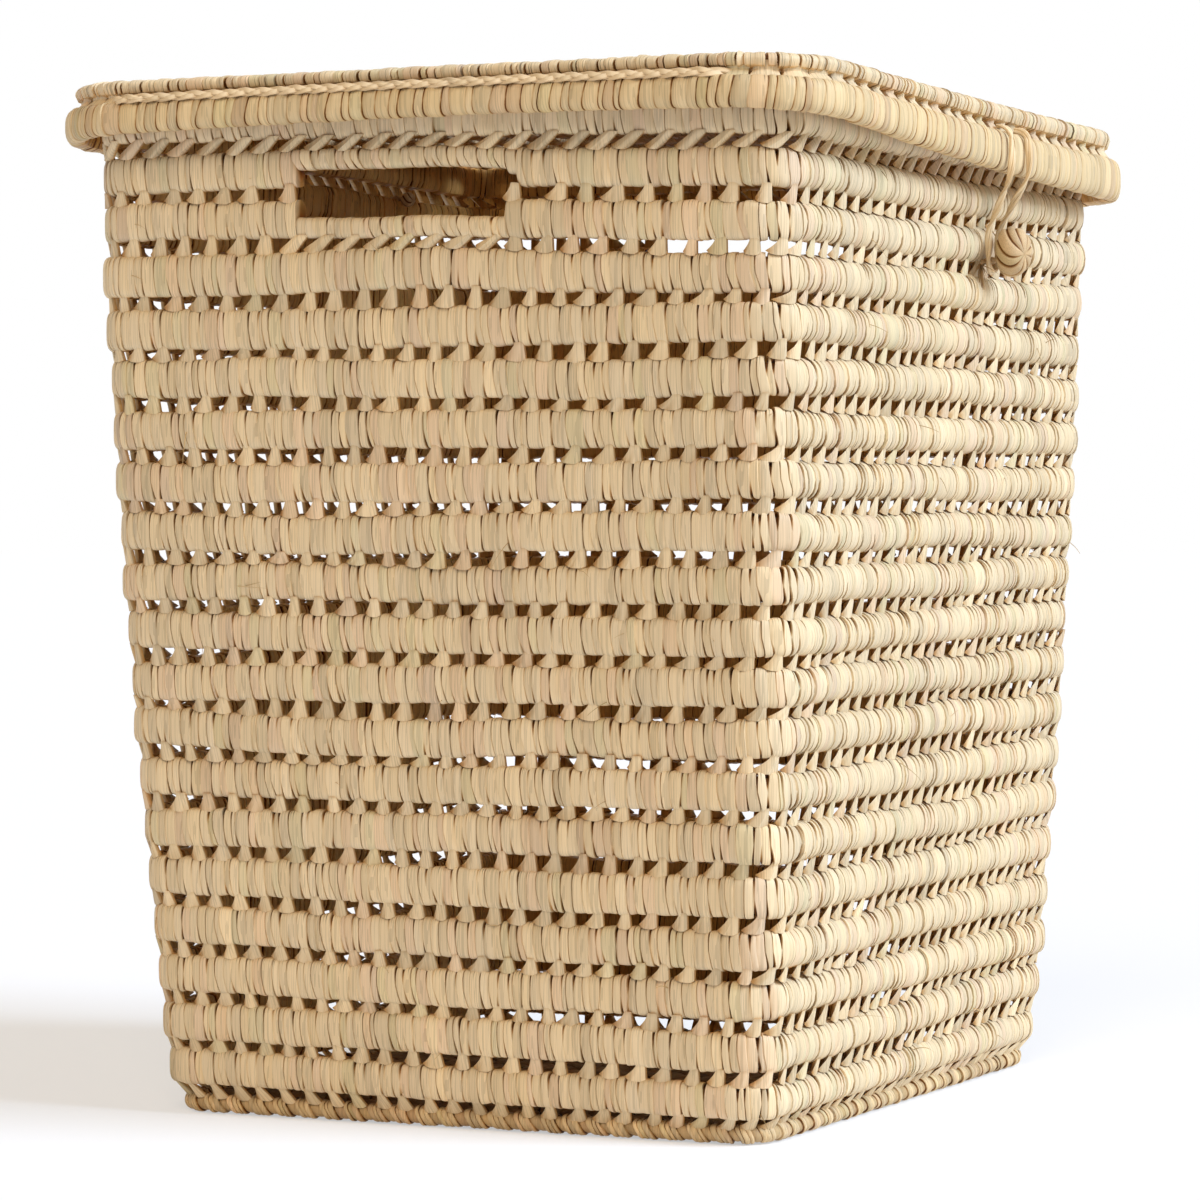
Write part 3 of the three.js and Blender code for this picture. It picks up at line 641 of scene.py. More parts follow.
def tie_row(rng, upper, lower, leaning):
    """Ties from one course of the wall down to the next. At a hand slot they only stand at its two ends."""
    middle = upper["wraps"]["tie_share"]
    tints = upper["wraps"]["tie_tint"]
    x, y, _, _ = along(middle * upper["length"], upper["outline"])
    at_side = np.abs(x) > upper["outline"][0] - 0.004
    if upper["cut"] > 0 and lower["cut"] > 0:
        clear = ~at_side | (np.abs(y - SLOT_ACROSS) > SLOT_HALF + 0.011)
        ends = slot_end_shares(upper)
        middle = np.concatenate([middle[clear], ends])
        tints = np.concatenate([tints[clear], tints[: ends.size]])
        at_side = np.concatenate([at_side[clear], np.ones(ends.size, dtype=bool)])
        lean = np.zeros(middle.size)
    else:
        lean = np.where(leaning | ((slot_share(x, y) > 0) & (upper["cut"] > 0)), TIE_LEAN, 0.0)
    count = middle.size
    fin = np.where(at_side, SIDE_FIN, FRONT_FIN)
    along_wall, tip, out, painted_shade = tie_forms(rng, count, upper["length"] / STITCHES, fin, lean)
    share = middle[:, None] + along_wall / upper["length"]
    high = upper["middle"] - upper["height"] / 2 + TIE_HOLD + upper["dip"](share)
    low = lower["middle"] + lower["height"] / 2 - TIE_FOOT + lower["dip"](share)
    z = low + (high - low) * TIE_RISE + tip
    upper_x, upper_y, out_x, out_y = along(share * upper["length"], upper["outline"])
    lower_x, lower_y, _, _ = along(share * lower["length"], lower["outline"])
    inward = out - COURSE_THICKNESS / 2 - 0.7 * FRONT_ROUNDER * np.clip(-out_y, 0, 1) ** 12
    x = lower_x + (upper_x - lower_x) * TIE_RISE + out_x * inward
    y = lower_y + (upper_y - lower_y) * TIE_RISE + out_y * inward
    uv = np.stack([share * upper["length"], z - high], -1)
    tints = (tints * (1 + rng.normal(0, 0.05, (count, 1))))[:, None] * TIE_BACK_SHADE
    return leaf_mesh("ties", np.stack([x, y, settled(x, y, z)], -1), TIE_FACES, tints, uv, painted_shade)


def unit(arrows):
    return arrows / np.linalg.norm(arrows, axis=1, keepdims=True)


def way_along(path):
    """How far along a path each of its points lies."""
    return np.concatenate([[0], np.cumsum(np.linalg.norm(np.diff(path, axis=0), axis=1))])


def strand(path, side, size, tint, sides=8, taper=0.0):
    """A strip or cord of leaf along a path, its edges rounded and its ends closed. side points across it."""
    ahead = unit(np.gradient(path, axis=0))
    side = unit(side - ahead * np.sum(side * ahead, axis=1, keepdims=True))
    face = np.cross(ahead, side)
    angle = np.linspace(0, 2 * math.pi, sides, endpoint=False)
    thin = 1 - taper * np.linspace(0, 1, len(path))[:, None, None]
    across = thin * side[:, None] * np.cos(angle)[None, :, None] * size[0]
    outward = thin * face[:, None] * np.sin(angle)[None, :, None] * size[1]
    places = (path[:, None] + across + outward).reshape(1, -1, 3)
    steps = len(path)
    faces = [
        [i * sides + j, i * sides + (j + 1) % sides, (i + 1) * sides + (j + 1) % sides, (i + 1) * sides + j]
        for i in range(steps - 1)
        for j in range(sides)
    ]
    faces.append(list(range(sides - 1, -1, -1)))
    faces.append(list(range((steps - 1) * sides, steps * sides)))
    uv = np.broadcast_arrays(np.arange(sides) * 0.0006, -way_along(path)[:, None])
    uv = np.stack(uv, -1).reshape(1, -1, 2)
    # painted shade along the strand's two side edges
    painted_shade = np.tile(0.4 * np.cos(angle) ** 6, steps)
    return leaf_mesh("strand", places, faces, np.array([tint]), uv, painted_shade)


def loose_fibres(rng, course):
    """Frayed ends of leaf that stick out of a course here and there."""
    fibres = []
    for start in rng.uniform(0, course["length"], LOOSE_FIBRES):
        t = np.linspace(0, 1, 9)
        reach = rng.uniform(*FIBRE_REACH)
        x, y, out_x, out_y = along(start + reach * rng.normal(0, 0.7) * t, course["outline"])
        out = -0.002 + reach * (0.75 * t - rng.uniform(0.0, 0.35) * t ** 2)
        up = course["height"] * rng.uniform(-0.45, 0.45)
        up = up + reach * (rng.normal(0, 0.5) * t - rng.uniform(0, 0.5) * t ** 2)
        x = x + out_x * out
        y = y + out_y * out
        path = np.stack([x, y, settled(x, y, course["middle"] + up)], -1)
        side = rng.normal(0, 1, 3)
        tint = leaf_tints(rng, FRAYED, 1, FRAYED_UNEVEN)[0]
        fibres.append(strand(path, side, FIBRE_SIZE, tint, 5, 0.7))
    return fibres


below = {
    "outline": RIM_OUTLINE,
    "length": way_round(RIM_OUTLINE),
    "middle": RIM_HEIGHT / 2,
    "height": RIM_HEIGHT,
    "cut": 0.0,
    "dip": lambda share: 0 * share,
}
wall_section = coil_section(COURSE_THICKNESS, COURSE_HEIGHT, COURSE_ROUNDNESS)
for number in range(1, COURSE_COUNT + 1):
    course = make_course(number, number * COURSE_PITCH, COURSE_HEIGHT, COURSE_THICKNESS, 600 + number)
    put = course_place(course)
    coil = leaf_coil("coil", course["wraps"], wall_section, put, STRIP_HOLD, COURSE_SHADE_FROM)
    ties = tie_row(default_rng(700 + number), course, below, False)
    fibres = loose_fibres(default_rng(900 + number), course)
    wall_course = join_up([coil, ties, *fibres], f"wall_course_{number:02d}")
    slot = "leaf_straw" if number % 2 else "leaf_cream"
    fit(wall_course, dry_leaf, "basket", slot, f"course_{number:02d}")
    below = course

# Mouth rim: the top course, wrapped in the same way. Its ties slant across the last gap, and the lid's skirt
# hides most of it.
MOUTH_RIM_HEIGHT = 0.0185
MOUTH_RIM_THICKNESS = 0.0105

rim_middle = MOUTH_HEIGHT + MOUTH_RIM_HEIGHT / 2
rim = make_course(COURSE_COUNT + 1, rim_middle, MOUTH_RIM_HEIGHT, MOUTH_RIM_THICKNESS, 640)
rim_section = coil_section(MOUTH_RIM_THICKNESS, MOUTH_RIM_HEIGHT, COURSE_ROUNDNESS)
coil = leaf_coil("coil", rim["wraps"], rim_section, course_place(rim), STRIP_HOLD, COURSE_SHADE_FROM)
ties = tie_row(default_rng(740), rim, below, True)
rim_course = join_up([coil, ties], "rim_course")
fit(rim_course, dry_leaf, "basket", "leaf_straw", "mouth_rim")

# Lid skirt: a thick coil of stems round the lid's edge, bound closely with narrow strips of leaf. It hangs
# outside the wall all round.
SKIRT_OUTLINE = (0.245, 0.2265, 0.055)
SKIRT_BOTTOM = 0.5075
SKIRT_HEIGHT = 0.0206
SKIRT_THICKNESS = 0.012
SKIRT_ROUNDNESS = 2.7
SKIRT_STRIPS = (0.0064, 0.0014, 0.0007)
SKIRT_WIDTHS = (0.4, 1.6)
LID_TOP = 0.543
SKIRT_STRAW = (0.70, 0.53, 0.292)
SKIRT_UNEVEN = 0.07


def lid_sag(x, y, z):
    """How the old lid has warped: its left side stands up, its front and right side hang down a little."""
    far_x = x / SKIRT_OUTLINE[0]
    far_y = y / SKIRT_OUTLINE[1]
    left = np.maximum(0, -far_x) * (1 - far_y ** 2)
    front = np.maximum(0, -far_y) * (1 - far_x ** 2)
    low = -0.0005 - 0.010 * far_x + 0.0005 * far_y + 0.0035 * left - 0.004 * front
    high = -0.0008 - 0.004 * far_x + 0.0012 * far_y - 0.002 * front
    share = np.clip((z - SKIRT_BOTTOM) / (LID_TOP - SKIRT_BOTTOM), 0, 1)
    return z + low + (high - low) * share


def sagged(place):
    """Lets places on the lid follow its warp."""
    x, y, z = np.moveaxis(place, -1, 0)
    return np.stack([x, y, lid_sag(x, y, z)], -1)


def on_lid(put):
    return lambda s, out, up: sagged(put(s, out, up))


rng = default_rng(800)
wraps = closely_bound(rng, SKIRT_OUTLINE, SKIRT_STRIPS, SKIRT_STRAW, SKIRT_UNEVEN, SKIRT_WIDTHS)
put = on_lid(stand(SKIRT_OUTLINE, SKIRT_THICKNESS, SKIRT_BOTTOM + SKIRT_HEIGHT / 2))
skirt = leaf_coil("skirt_coil", wraps, coil_section(SKIRT_THICKNESS, SKIRT_HEIGHT, SKIRT_ROUNDNESS), put)
fit(skirt, dry_leaf, "lid", "leaf_cream", "lid_skirt")

# Lid top: eight flat coils laid inside one another round a short middle coil, wrapped and tied like the
# wall's courses, with open gaps between them. Ties also hold the outer one, the border coil, down to the
# skirt, but along the two sides a plait does that.
LID_COILS = 8
BORDER_OUTLINE = (0.239, 0.2205, 0.049)
LID_PITCH = 0.026
LID_COIL_WIDTH = 0.0196
LID_COIL_THICKNESS = 0.0082
BORDER_THICKNESS = 0.0102
LID_COIL_MIDDLE = 0.5390
LID_ROUNDNESS = 2.3
BORDER_ROUNDNESS = 2.8
LID_SHADE_FROM = -0.5
LID_TIE_SUNK = 0.0009
LID_LEAST_CORNER = 0.0246
LID_STITCH = 0.0163
PLAIT_HALF = 0.1715
SEAM_LOW = 0.5262
SEAM_HIGH = 0.5378
SEAM_TIE_HALF = (0.0028, 0.0042)
SEAM_TIE_DEPTH = 0.004
CORNER_TIE_HALF = 0.0070
CENTRE_OUTLINE = (0.031, 0.0125, 0.0124)
CENTRE_WIDTH = 0.0124
CENTRE_ROUNDNESS = 2.2
CENTRE_STRIPS = (0.005, 0.001, 0.0007)


def lie(outline, width, middle):
    """Places a coil that lies flat on the lid, its face upwards and its top edge outwards."""
    return on_lid(lambda s, out, up: place_by(s, outline, up - width / 2, middle + out))


def flat_ties(rng, wraps, outline):
    """Ties from one lid coil to the next one in, on the straight runs."""
    x, y, _, _ = along(wraps["tie_share"] * wraps["length"], outline)
    half_x, half_y, corner = outline
    kept = (np.abs(x) < half_x - corner - 0.004) | (np.abs(y) < half_y - corner - 0.004)
    count = int(kept.sum())
    along_coil, tip, out, painted_shade = tie_forms(rng, count, LID_STITCH, SIDE_FIN, 0.0)
    s = wraps["tie_share"][kept][:, None] * wraps["length"] + along_coil
    outer = -LID_COIL_WIDTH + TIE_HOLD
    inner = -LID_PITCH - TIE_FOOT
    outward = inner + (outer - inner) * TIE_RISE + tip
    place = sagged(place_by(s, outline, outward, LID_COIL_MIDDLE - LID_TIE_SUNK + out))
    tints = wraps["tie_tint"][kept][:, None] * TIE_BACK_SHADE
    uv = np.stack([s, outward + 0 * s], -1)
    return leaf_mesh("flat_ties", place, TIE_FACES[:, ::-1], tints, uv, painted_shade)


def seam_ties(rng, wraps, outline):
    """Ties from the border coil down to the skirt, at the front, the back and the corners."""
    x, y, _, _ = along(wraps["tie_share"] * wraps["length"], outline)
    kept = np.abs(y) > PLAIT_HALF + 0.003
    count = int(kept.sum())
    a, w = TIE_ACROSS, TIE_RISE
    at_corner = (np.abs(x) > outline[0] - outline[2])[kept][:, None]
    half = np.where(at_corner, CORNER_TIE_HALF, rng.uniform(*SEAM_TIE_HALF, (count, 1)))
    half = half * (1 + 0.35 * (2 * w - 1) ** 2)
    lean = rng.normal(0.0016, 0.0010, (count, 1)) * (w - 0.5)
    s = wraps["tie_share"][kept][:, None] * wraps["length"] + lean + half * (2 * a - 1)
    crease = rng.uniform(-0.0004, 0.0004, (count, 6))[:, TIE_COLUMN]
    crown = 0.0020 * (1 - (2 * a - 1) ** 2) + crease
    outward = -0.0034 - 0.0022 * (1 - np.abs(2 * w - 1)) + 0.0045 * (1 - w) ** 2 + crown
    outward = np.where(TIE_BEHIND, outward - SEAM_TIE_DEPTH, outward)
    place = sagged(place_by(s, outline, outward, SEAM_LOW + (SEAM_HIGH - SEAM_LOW) * w))
    tints = wraps["tie_tint"][kept][:, None] * TIE_BACK_SHADE
    uv = np.stack([s, place[..., 2] - SEAM_HIGH], -1)
    return leaf_mesh("seam_ties", place, TIE_FACES, tints, uv, TIE_SHADE)


for number in range(1, LID_COILS + 1):
    half_x, half_y, corner = np.array(BORDER_OUTLINE) - (number - 1) * LID_PITCH
    outline = (half_x, half_y, max(corner, LID_LEAST_CORNER))
    length = way_round(outline)
    rng = default_rng(820 + number)
    wraps = stitched_strips(rng, length, int(round(length / LID_STITCH)), number % 2 / 2)
    deeper = BORDER_THICKNESS - LID_COIL_THICKNESS if number == 1 else 0.0
    roundness = BORDER_ROUNDNESS if number == 1 else LID_ROUNDNESS
    section = coil_section(LID_COIL_THICKNESS + deeper, LID_COIL_WIDTH, roundness)
    put = lie(outline, LID_COIL_WIDTH, LID_COIL_MIDDLE - deeper / 2)
    coil = leaf_coil("coil", wraps, section, put, STRIP_HOLD, LID_SHADE_FROM)
    coil.data.flip_normals()
    sewn = [coil, flat_ties(rng, wraps, outline)]
    if number == 1:
        sewn.append(seam_ties(rng, wraps, outline))
    top_coil = join_up(sewn, f"top_coil_{number}")
    fit(top_coil, dry_leaf, "lid", "leaf_straw" if number % 2 else "leaf_cream", f"lid_coil_{number}")

# the short middle coil, bent double so that it closes the middle
rng = default_rng(840)
wraps = closely_bound(rng, CENTRE_OUTLINE, CENTRE_STRIPS, STRAW)
section = coil_section(LID_COIL_THICKNESS, CENTRE_WIDTH, CENTRE_ROUNDNESS)
put = lie(CENTRE_OUTLINE, CENTRE_WIDTH, LID_COIL_MIDDLE)
middle_coil = leaf_coil("middle_coil", wraps, section, put, shade_from=LID_SHADE_FROM)
middle_coil.data.flip_normals()
fit(middle_coil, dry_leaf, "lid", "leaf_straw", "lid_centre_coil")

# Plaited seams: three flat leaf strands plaited along each side of the lid, over the seam of border coil and
# skirt, their ends tucked in under the border coil.
PLAIT_X = 0.2430
PLAIT_Z = 0.5298
PLAIT_REPEAT = 0.030
PLAIT_SWING = 0.0016
PLAIT_CROSS = 0.0011
PLAIT_STRAND = (0.0016, 0.0006)
PLAIT_STEPS = 220
PLAIT_TAIL = 0.006
PLAIT_TUCK = 0.007
PLAIT_UNEVEN = 0.12
PLAIT_STRAW = (0.74, 0.56, 0.33)

for side_name, side_sign in (("left", -1), ("right", 1)):
    rng = default_rng(860 + side_sign)
    y = np.linspace(-PLAIT_HALF - PLAIT_TAIL, PLAIT_HALF + PLAIT_TAIL, PLAIT_STEPS)
    uneven = waves(rng, PLAIT_UNEVEN)
    strands = []
    for number in range(3):
        turn = 2 * math.pi * (y / PLAIT_REPEAT + number / 3 + 0.3 * uneven(y))
        cross = PLAIT_CROSS * np.sin(2 * turn)
        swing = PLAIT_SWING * (1 + uneven(y + number / 7)) * np.sin(turn)
        tucked = PLAIT_TUCK * np.clip((np.abs(y) - PLAIT_HALF + 0.008) / 0.014, 0, 1) ** 2
        x = side_sign * (PLAIT_X + cross - 0.5 * swing - tucked)
        z = lid_sag(x, y, PLAIT_Z + swing)
        path = np.stack([x, y, z], -1)
        width = np.array([-0.5 * side_sign, 0.0, 1.0])
        tint = leaf_tints(rng, PLAIT_STRAW, 1, 0.05)[0]
        strands.append(strand(path, width, PLAIT_STRAND, tint))
    plait = join_up(strands, f"plaited_seam_{side_name}")
    fit(plait, dry_leaf, "lid", "leaf_tan", f"lid_braid_{side_name}")

# Toggle: a ball of tan leaf, its pleats drawn together at one end, on a short neck. A cord through the wall's
# gap holds it, knotted inside. The cord's frayed end stands out of the gap as a small tuft.
BALL_PLACE = (0.0446, -0.2186, 0.4597)
BALL_FORM = (0.012, 9, 0.0011)
BALL_POLE = (-0.40, -0.90, -0.16)
BALL_TALL = 1.15
BALL_FLAT = 0.25
PLEAT_GAP = 0.16
NECK_ROUTE = ((0.046, -0.2035, 0.4548), (0.046, -0.2075, 0.4556), (0.046, -0.2135, 0.4569))
NECK_RADIUS = 0.0021
SHANK_ROUTE = ((0.046, -0.2050, 0.4550), (0.046, -0.1960, 0.4550), (0.046, -0.1865, 0.4550))
SHANK_RADIUS = 0.002
TOGGLE_TWIST = 0.009
KNOT_FORM = (0.005, 6, 0.0007)
KNOT_POLE = (0, 1, 0.2)
TUFT_ROOT = (0.0405, -0.2015, 0.4530)
TUFT_WAY = (-0.8, -0.55, -0.5)
TUFT_REACH = 0.014
TUFT_DROOP = (0, 0, -0.0025)
TUFT_FIBRES = 16
TUFT_STRIP = (0.0009, 0.0003)
TUFT_BROWN = (0.42, 0.27, 0.13)
TUFT_UNEVEN = 0.3
BALL_TAN = (0.64, 0.45, 0.24)


def leaf_ball(name, place, pole, form, rng, tall=1.0, flat=1.0):
    """A ball of leaf folded round in overlapping pleats that gather at its two ends. Its form is its radius,
    the number of its pleats and their depth."""
    radius, pleats, depth = form
    bpy.ops.mesh.primitive_uv_sphere_add(segments=pleats * 6, ring_count=20, radius=1)
    ball = bpy.context.object
    ball.name = ball.data.name = name
    points = np.array([vertex.co[:] for vertex in ball.data.vertices])
    height = points[:, 2]
    belt = np.hypot(points[:, 0], points[:, 1])
    angle = np.arctan2(points[:, 1], points[:, 0])
    turn = np.mod(angle / (2 * math.pi) * pleats + 1e-4, pleats)
    step = turn - np.floor(turn)
    sawtooth = np.where(step < PLEAT_GAP, 0.0, 0.45 + 0.55 * np.sin(math.pi * step) ** 0.5)
    size = radius - depth + depth * sawtooth * np.clip(belt * 1.6, 0, 1) - 0.08 * radius * np.abs(height) ** 6
    twisted = angle + 0.5 * np.sin(1.6 * height) + 0.06 * np.sin(5 * angle)
    points = np.stack([belt * np.cos(twisted), belt * np.sin(twisted), height], -1) * size[:, None]
    points = points @ np.array(Vector(pole).normalized().to_track_quat("Z", "Y").to_matrix()).T
    points = points * np.array([1 / math.sqrt(tall), 1 / math.sqrt(tall), tall])
    points[:, 1] -= (1 - flat) * np.maximum(points[:, 1] - radius / 2, 0)
    points = points + np.array(place)
    ball.data.vertices.foreach_set("co", points.ravel())
    shades = leaf_tints(rng, BALL_TAN, pleats + 2, 0.06)
    strength = rng.uniform(0.9, 1.6, pleats)
    pleat = np.floor(turn).astype(int) % pleats
    # painted shade in the recessed gaps between the pleats
    painted_shade = np.where(step < PLEAT_GAP, strength[pleat], 0.0) * np.clip(belt * 1.6, 0.3, 1)
    colour_leaf(ball.data, shades[pleat][corner_points(ball.data)], painted_shade)
    bpy.ops.object.shade_smooth()
    return ball


def smooth_path(points, count):
    """A smooth curve through points, evenly divided."""
    points = np.array(points, dtype=float)
    gaps = np.sqrt(np.linalg.norm(np.diff(points, axis=0), axis=1))
    knots = np.concatenate([[0], np.cumsum(gaps)])
    slopes = np.gradient(points, knots, axis=0)
    t = np.linspace(0, knots[-1], count * 8)
    i = np.clip(np.searchsorted(knots, t, side="right") - 1, 0, len(points) - 2)
    h = (knots[i + 1] - knots[i])[:, None]
    f = ((t - knots[i]) / h[:, 0])[:, None]
    dense = (
        (2 * f ** 3 - 3 * f ** 2 + 1) * points[i]
        + (f ** 3 - 2 * f ** 2 + f) * h * slopes[i]
        + (3 * f ** 2 - 2 * f ** 3) * points[i + 1]
        + (f ** 3 - f ** 2) * h * slopes[i + 1]
    )
    run = way_along(dense)
    even = np.linspace(0, run[-1], count)
    return np.stack([np.interp(even, run, dense[:, axis]) for axis in range(3)], -1)


def leaf_cord(name, points, radius, count, twist, tints):
    """Two strands of leaf twisted round each other along a route."""
    path = smooth_path(points, count)
    ahead = unit(np.gradient(path, axis=0))
    side = unit(np.cross(ahead, np.array([0.31, 0.17, 0.93])))
    face = np.cross(ahead, side)
    strands = []
    for number in range(2):
        turn = (2 * math.pi * way_along(path) / twist + math.pi * number)[:, None]
        offset = side * np.cos(turn) + face * np.sin(turn)
        size = (radius * 0.62, radius * 0.52)
        strands.append(strand(path + offset * radius * 0.42, offset, size, tints[number], 7))
    return join_up(strands, name)


rng = default_rng(880)
toggle_tints = leaf_tints(rng, BALL_TAN, 8, 0.05)
ball = leaf_ball("ball", BALL_PLACE, BALL_POLE, BALL_FORM, rng, BALL_TALL, BALL_FLAT)
neck = leaf_cord("neck", NECK_ROUTE, NECK_RADIUS, 12, TOGGLE_TWIST, toggle_tints[:2])
toggle_ball = join_up([ball, neck], "pleated_ball")
fit(toggle_ball, dry_leaf, "toggle", "leaf_tan", "toggle_ball")

shank = leaf_cord("shank", SHANK_ROUTE, SHANK_RADIUS, 16, TOGGLE_TWIST, toggle_tints[2:4])
knot = leaf_ball("knot", SHANK_ROUTE[-1], KNOT_POLE, KNOT_FORM, rng)
tuft_rng = default_rng(890)
tuft = []
for _ in range(TUFT_FIBRES):
    reach = tuft_rng.uniform(0.5, 1.0) * TUFT_REACH * (np.array(TUFT_WAY) + tuft_rng.normal(0, 0.45, 3))
    t = np.linspace(0, 1, 7)[:, None]
    path = np.array(TUFT_ROOT) + reach * t + np.array(TUFT_DROOP) * t ** 2
    side = tuft_rng.normal(0, 1, 3)
    tint = leaf_tints(tuft_rng, TUFT_BROWN, 1, TUFT_UNEVEN)[0]
    tuft.append(strand(path, side, TUFT_STRIP, tint, 5, 0.8))
toggle_cord = join_up([knot, shank, *tuft], "toggle_cord")
fit(toggle_cord, dry_leaf, "basket", "leaf_tan", "toggle_shank")

# Closing loop: one cord of two twisted strands of pale leaf, sewn into the lid's front seam. It goes over the
# skirt, down to the ball and round behind it. LOOP_LEGS gives x of the left leg, x of the right one, y and z.
LOOP_RADIUS = 0.0020
LOOP_TWIST = 0.05
LOOP_STEPS = 150
LOOP_LEGS = (
    (0.0170, 0.0430, -0.2205, 0.5302),
    (0.0170, 0.0430, -0.2226, 0.5302),
    (0.0170, 0.0430, -0.2256, 0.5294),
    (0.0170, 0.0430, -0.2278, 0.5272),
    (0.0170, 0.0430, -0.2286, 0.5242),
    (0.0170, 0.0430, -0.2286, 0.5080),
    (0.0284, 0.0480, -0.2177, 0.4855),
    (0.0368, 0.0534, -0.2085, 0.4720),
    (0.0398, 0.0524, -0.2068, 0.4610),
    (0.0400, 0.0520, -0.2066, 0.4550),
    (0.0418, 0.0502, -0.2066, 0.4508),
)
LOOP_TURN = (0.0460, -0.2066, 0.4490)
LOOP_CREAM = (0.78, 0.60, 0.36)

left_leg = [(left, y, z) for left, _, y, z in LOOP_LEGS]
right_leg = [(right, y, z) for _, right, y, z in LOOP_LEGS]
lace = np.array([*left_leg, LOOP_TURN, *right_leg[::-1]])
on_top = lace[:, 2] > SKIRT_BOTTOM
lace[on_top, 2] = lid_sag(lace[on_top, 0], lace[on_top, 1], lace[on_top, 2])
tints = leaf_tints(rng, LOOP_CREAM, 2, 0.05)
closing_cord = leaf_cord("closing_cord", lace, LOOP_RADIUS, LOOP_STEPS, LOOP_TWIST, tints)
fit(closing_cord, dry_leaf, "loop", "leaf_cream", "closing_loop")

# Hinge cords: two cords of twisted leaf at the back, each a ring round the lid's skirt with a tail through
# the top gap of the wall, knotted inside.
HINGE_ACROSS = 0.110
HINGE_RING_Y = (0.2124, 0.2286)
HINGE_RING_Z = (0.5062, 0.5308)
HINGE_KNOT_Y = 0.1882
HINGE_KNOT_FORM = (0.0045, 6, 0.0006)
HINGE_KNOT_POLE = (0, 1, 0.3)
HINGE_RADIUS = 0.0019
HINGE_TWIST = 0.012

for side_name, across in (("left", -HINGE_ACROSS), ("right", HINGE_ACROSS)):
    near, far = HINGE_RING_Y
    low, high = HINGE_RING_Z
    middle = (near + far) / 2
    ring = (
        (HINGE_KNOT_Y, low + 0.0005),
        (near - 0.008, low + 0.0005),
        (near + 0.003, low),
        (middle, low - 0.0004),
        (far - 0.001, low + 0.003),
        (far, (low + high) / 2),
        (far - 0.001, high - 0.003),
        (middle, high),
        (near + 0.001, high - 0.003),
        (near, (low + high) / 2),
        (near + 0.0015, low + 0.0035),
        (middle, low + 0.0004),
    )
    ring_route = np.array([(across, y, z) for y, z in ring])
    on_skirt = ring_route[:, 1] > near
    ring_route[on_skirt, 2] = lid_sag(across, ring_route[on_skirt, 1], ring_route[on_skirt, 2])
    tints = leaf_tints(rng, BALL_TAN, 2, 0.05)
    cord = leaf_cord("cord", ring_route, HINGE_RADIUS, 90, HINGE_TWIST, tints)
    knot = leaf_ball("knot", (across, HINGE_KNOT_Y, low), HINGE_KNOT_POLE, HINGE_KNOT_FORM, rng)
    hinge_cord = join_up([knot, cord], f"hinge_lace_{side_name}")
    hinge_cord.data.materials.clear()
    hinge_cord.data.materials.append(dry_leaf)
    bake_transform(hinge_cord)
    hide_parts(f"hinge_cord_{side_name}")

# Camera at the photograph's angle: a long lens a little above the middle, turned to see the side with the
# hand slot and, more narrowly, the front.
VIEW_TURN = math.radians(-64.2)
VIEW_DOWN = math.radians(1.1)
VIEW_ROLL = math.radians(-0.3)
VIEW_BACK = 2.502
VIEW_SIDE = -0.0086
VIEW_HEIGHT = 0.3187
VIEW_LENS = 135

camera_data = bpy.data.cameras.new("camera")
camera_data.sensor_width = 36
camera_data.lens = VIEW_LENS
camera_data.clip_end = 50
camera = bpy.data.objects.new("camera", camera_data)
bpy.context.collection.objects.link(camera)
right = Vector((math.cos(VIEW_TURN), math.sin(VIEW_TURN), 0))
back = Vector((math.sin(VIEW_TURN), -math.cos(VIEW_TURN), 0))
turn = (
    Matrix.Rotation(VIEW_TURN, 4, "Z")
    @ Matrix.Rotation(math.pi / 2 - VIEW_DOWN, 4, "X")
    @ Matrix.Rotation(VIEW_ROLL, 4, "Z")
)
place = back * VIEW_BACK + right * VIEW_SIDE + Vector((0, 0, VIEW_HEIGHT))
camera.matrix_world = Matrix.Translation(place) @ turn
bpy.context.scene.camera = camera

# Floor and light: a plain white floor in a white room, the room's own soft light, and two broad lamps far
# off: a bright one over the front and a weak warm one over the left side.
FLOOR_SIZE = 60
FLOOR_DROP = 0.0004
FLOOR_WHITE = 0.97
FLOOR_PALER = 0.5
ROOM_LIGHT = 0.31
ROOM_WARMTH = (1.0, 0.86, 0.69, 1)
LAMP_SPREAD = math.radians(28)
LAMPS = (
    ("front lamp", 2.98, (0.895, 1.09, 1.40), (-0.05, 0.80, -0.57)),
    ("side lamp", 1.08, (1.0, 0.79, 0.57), (0.72, 0.22, -0.66)),
)

bpy.ops.mesh.primitive_plane_add(size=FLOOR_SIZE, location=(0, 0, -FLOOR_DROP))
bpy.ops.object.transform_apply(location=True, rotation=True, scale=True)
floor = bpy.context.object
floor.name = "floor"


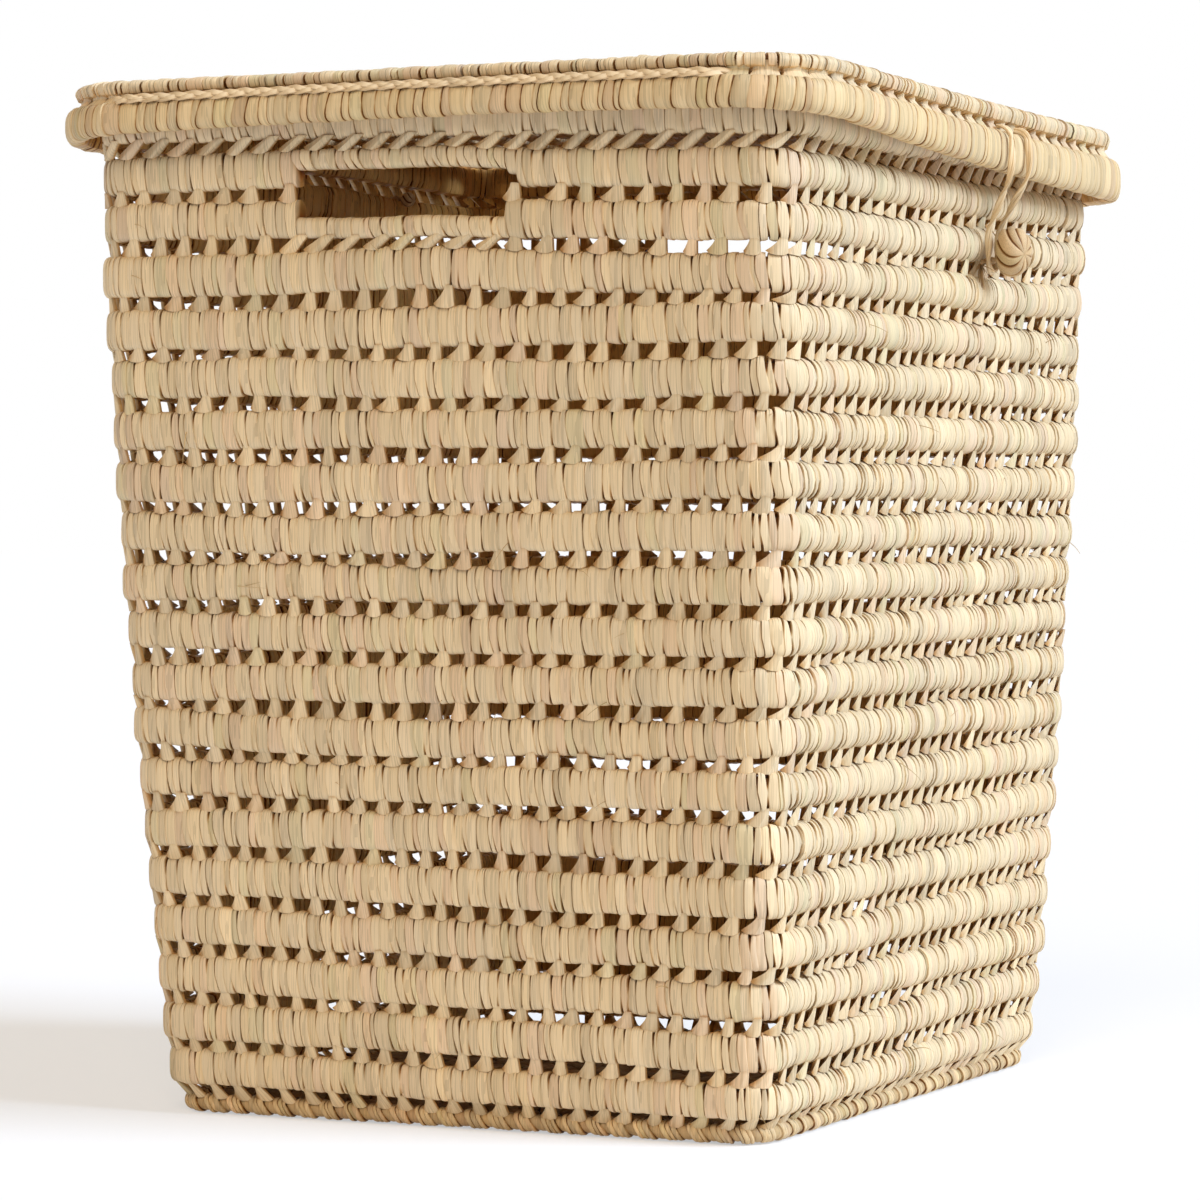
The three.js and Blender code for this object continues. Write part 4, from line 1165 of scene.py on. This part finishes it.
def whiten_to_the_eye(tree, lit, white, share, out):
    """Mixes a share of white into what is seen, also in a mirror or through glass, but not into the light."""
    rays = add_node(tree, "LightPath", {}).outputs
    seen = rays["Is Camera Ray"]
    for ray in ("Is Glossy Ray", "Is Transmission Ray"):
        seen = add_node(tree, "Math", {0: seen, 1: rays[ray]}, operation="MAXIMUM").outputs["Value"]
    part = add_node(tree, "Math", {0: seen, 1: share}, operation="MULTIPLY").outputs["Value"]
    mixed = add_node(tree, "MixShader", {"Fac": part, 1: lit, 2: white})
    tree.links.new(mixed.outputs["Shader"], out)


floor_paint = bpy.data.materials.new("floor paint")
floor_paint.use_nodes = True
tree = floor_paint.node_tree
paint = tree.nodes["Principled BSDF"]
paint.inputs["Base Color"].default_value = (FLOOR_WHITE, FLOOR_WHITE, FLOOR_WHITE, 1)
paint.inputs["Roughness"].default_value = 1.0
paint.inputs["Specular IOR Level"].default_value = 0.0
pale = add_node(tree, "Emission", {})
surface = tree.nodes["Material Output"].inputs["Surface"]
whiten_to_the_eye(tree, paint.outputs["BSDF"], pale.outputs["Emission"], FLOOR_PALER, surface)
floor.data.materials.append(floor_paint)

world = bpy.data.worlds.new("room")
bpy.context.scene.world = world
world.use_nodes = True
tree = world.node_tree
room = tree.nodes["Background"]
room.inputs["Color"].default_value = ROOM_WARMTH
room.inputs["Strength"].default_value = ROOM_LIGHT
backdrop = add_node(tree, "Background", {"Color": (1, 1, 1, 1)})
surface = tree.nodes["World Output"].inputs["Surface"]
whiten_to_the_eye(tree, room.outputs["Background"], backdrop.outputs["Background"], 1.0, surface)

for name, light, colour, aim in LAMPS:
    lamp_data = bpy.data.lights.new(name, "SUN")
    lamp_data.energy = light
    lamp_data.angle = LAMP_SPREAD
    lamp_data.color = colour
    lamp = bpy.data.objects.new(name, lamp_data)
    bpy.context.collection.objects.link(lamp)
    lamp.rotation_euler = Vector(aim).to_track_quat("-Z", "Y").to_euler()

bpy.context.scene.view_settings.view_transform = "Standard"
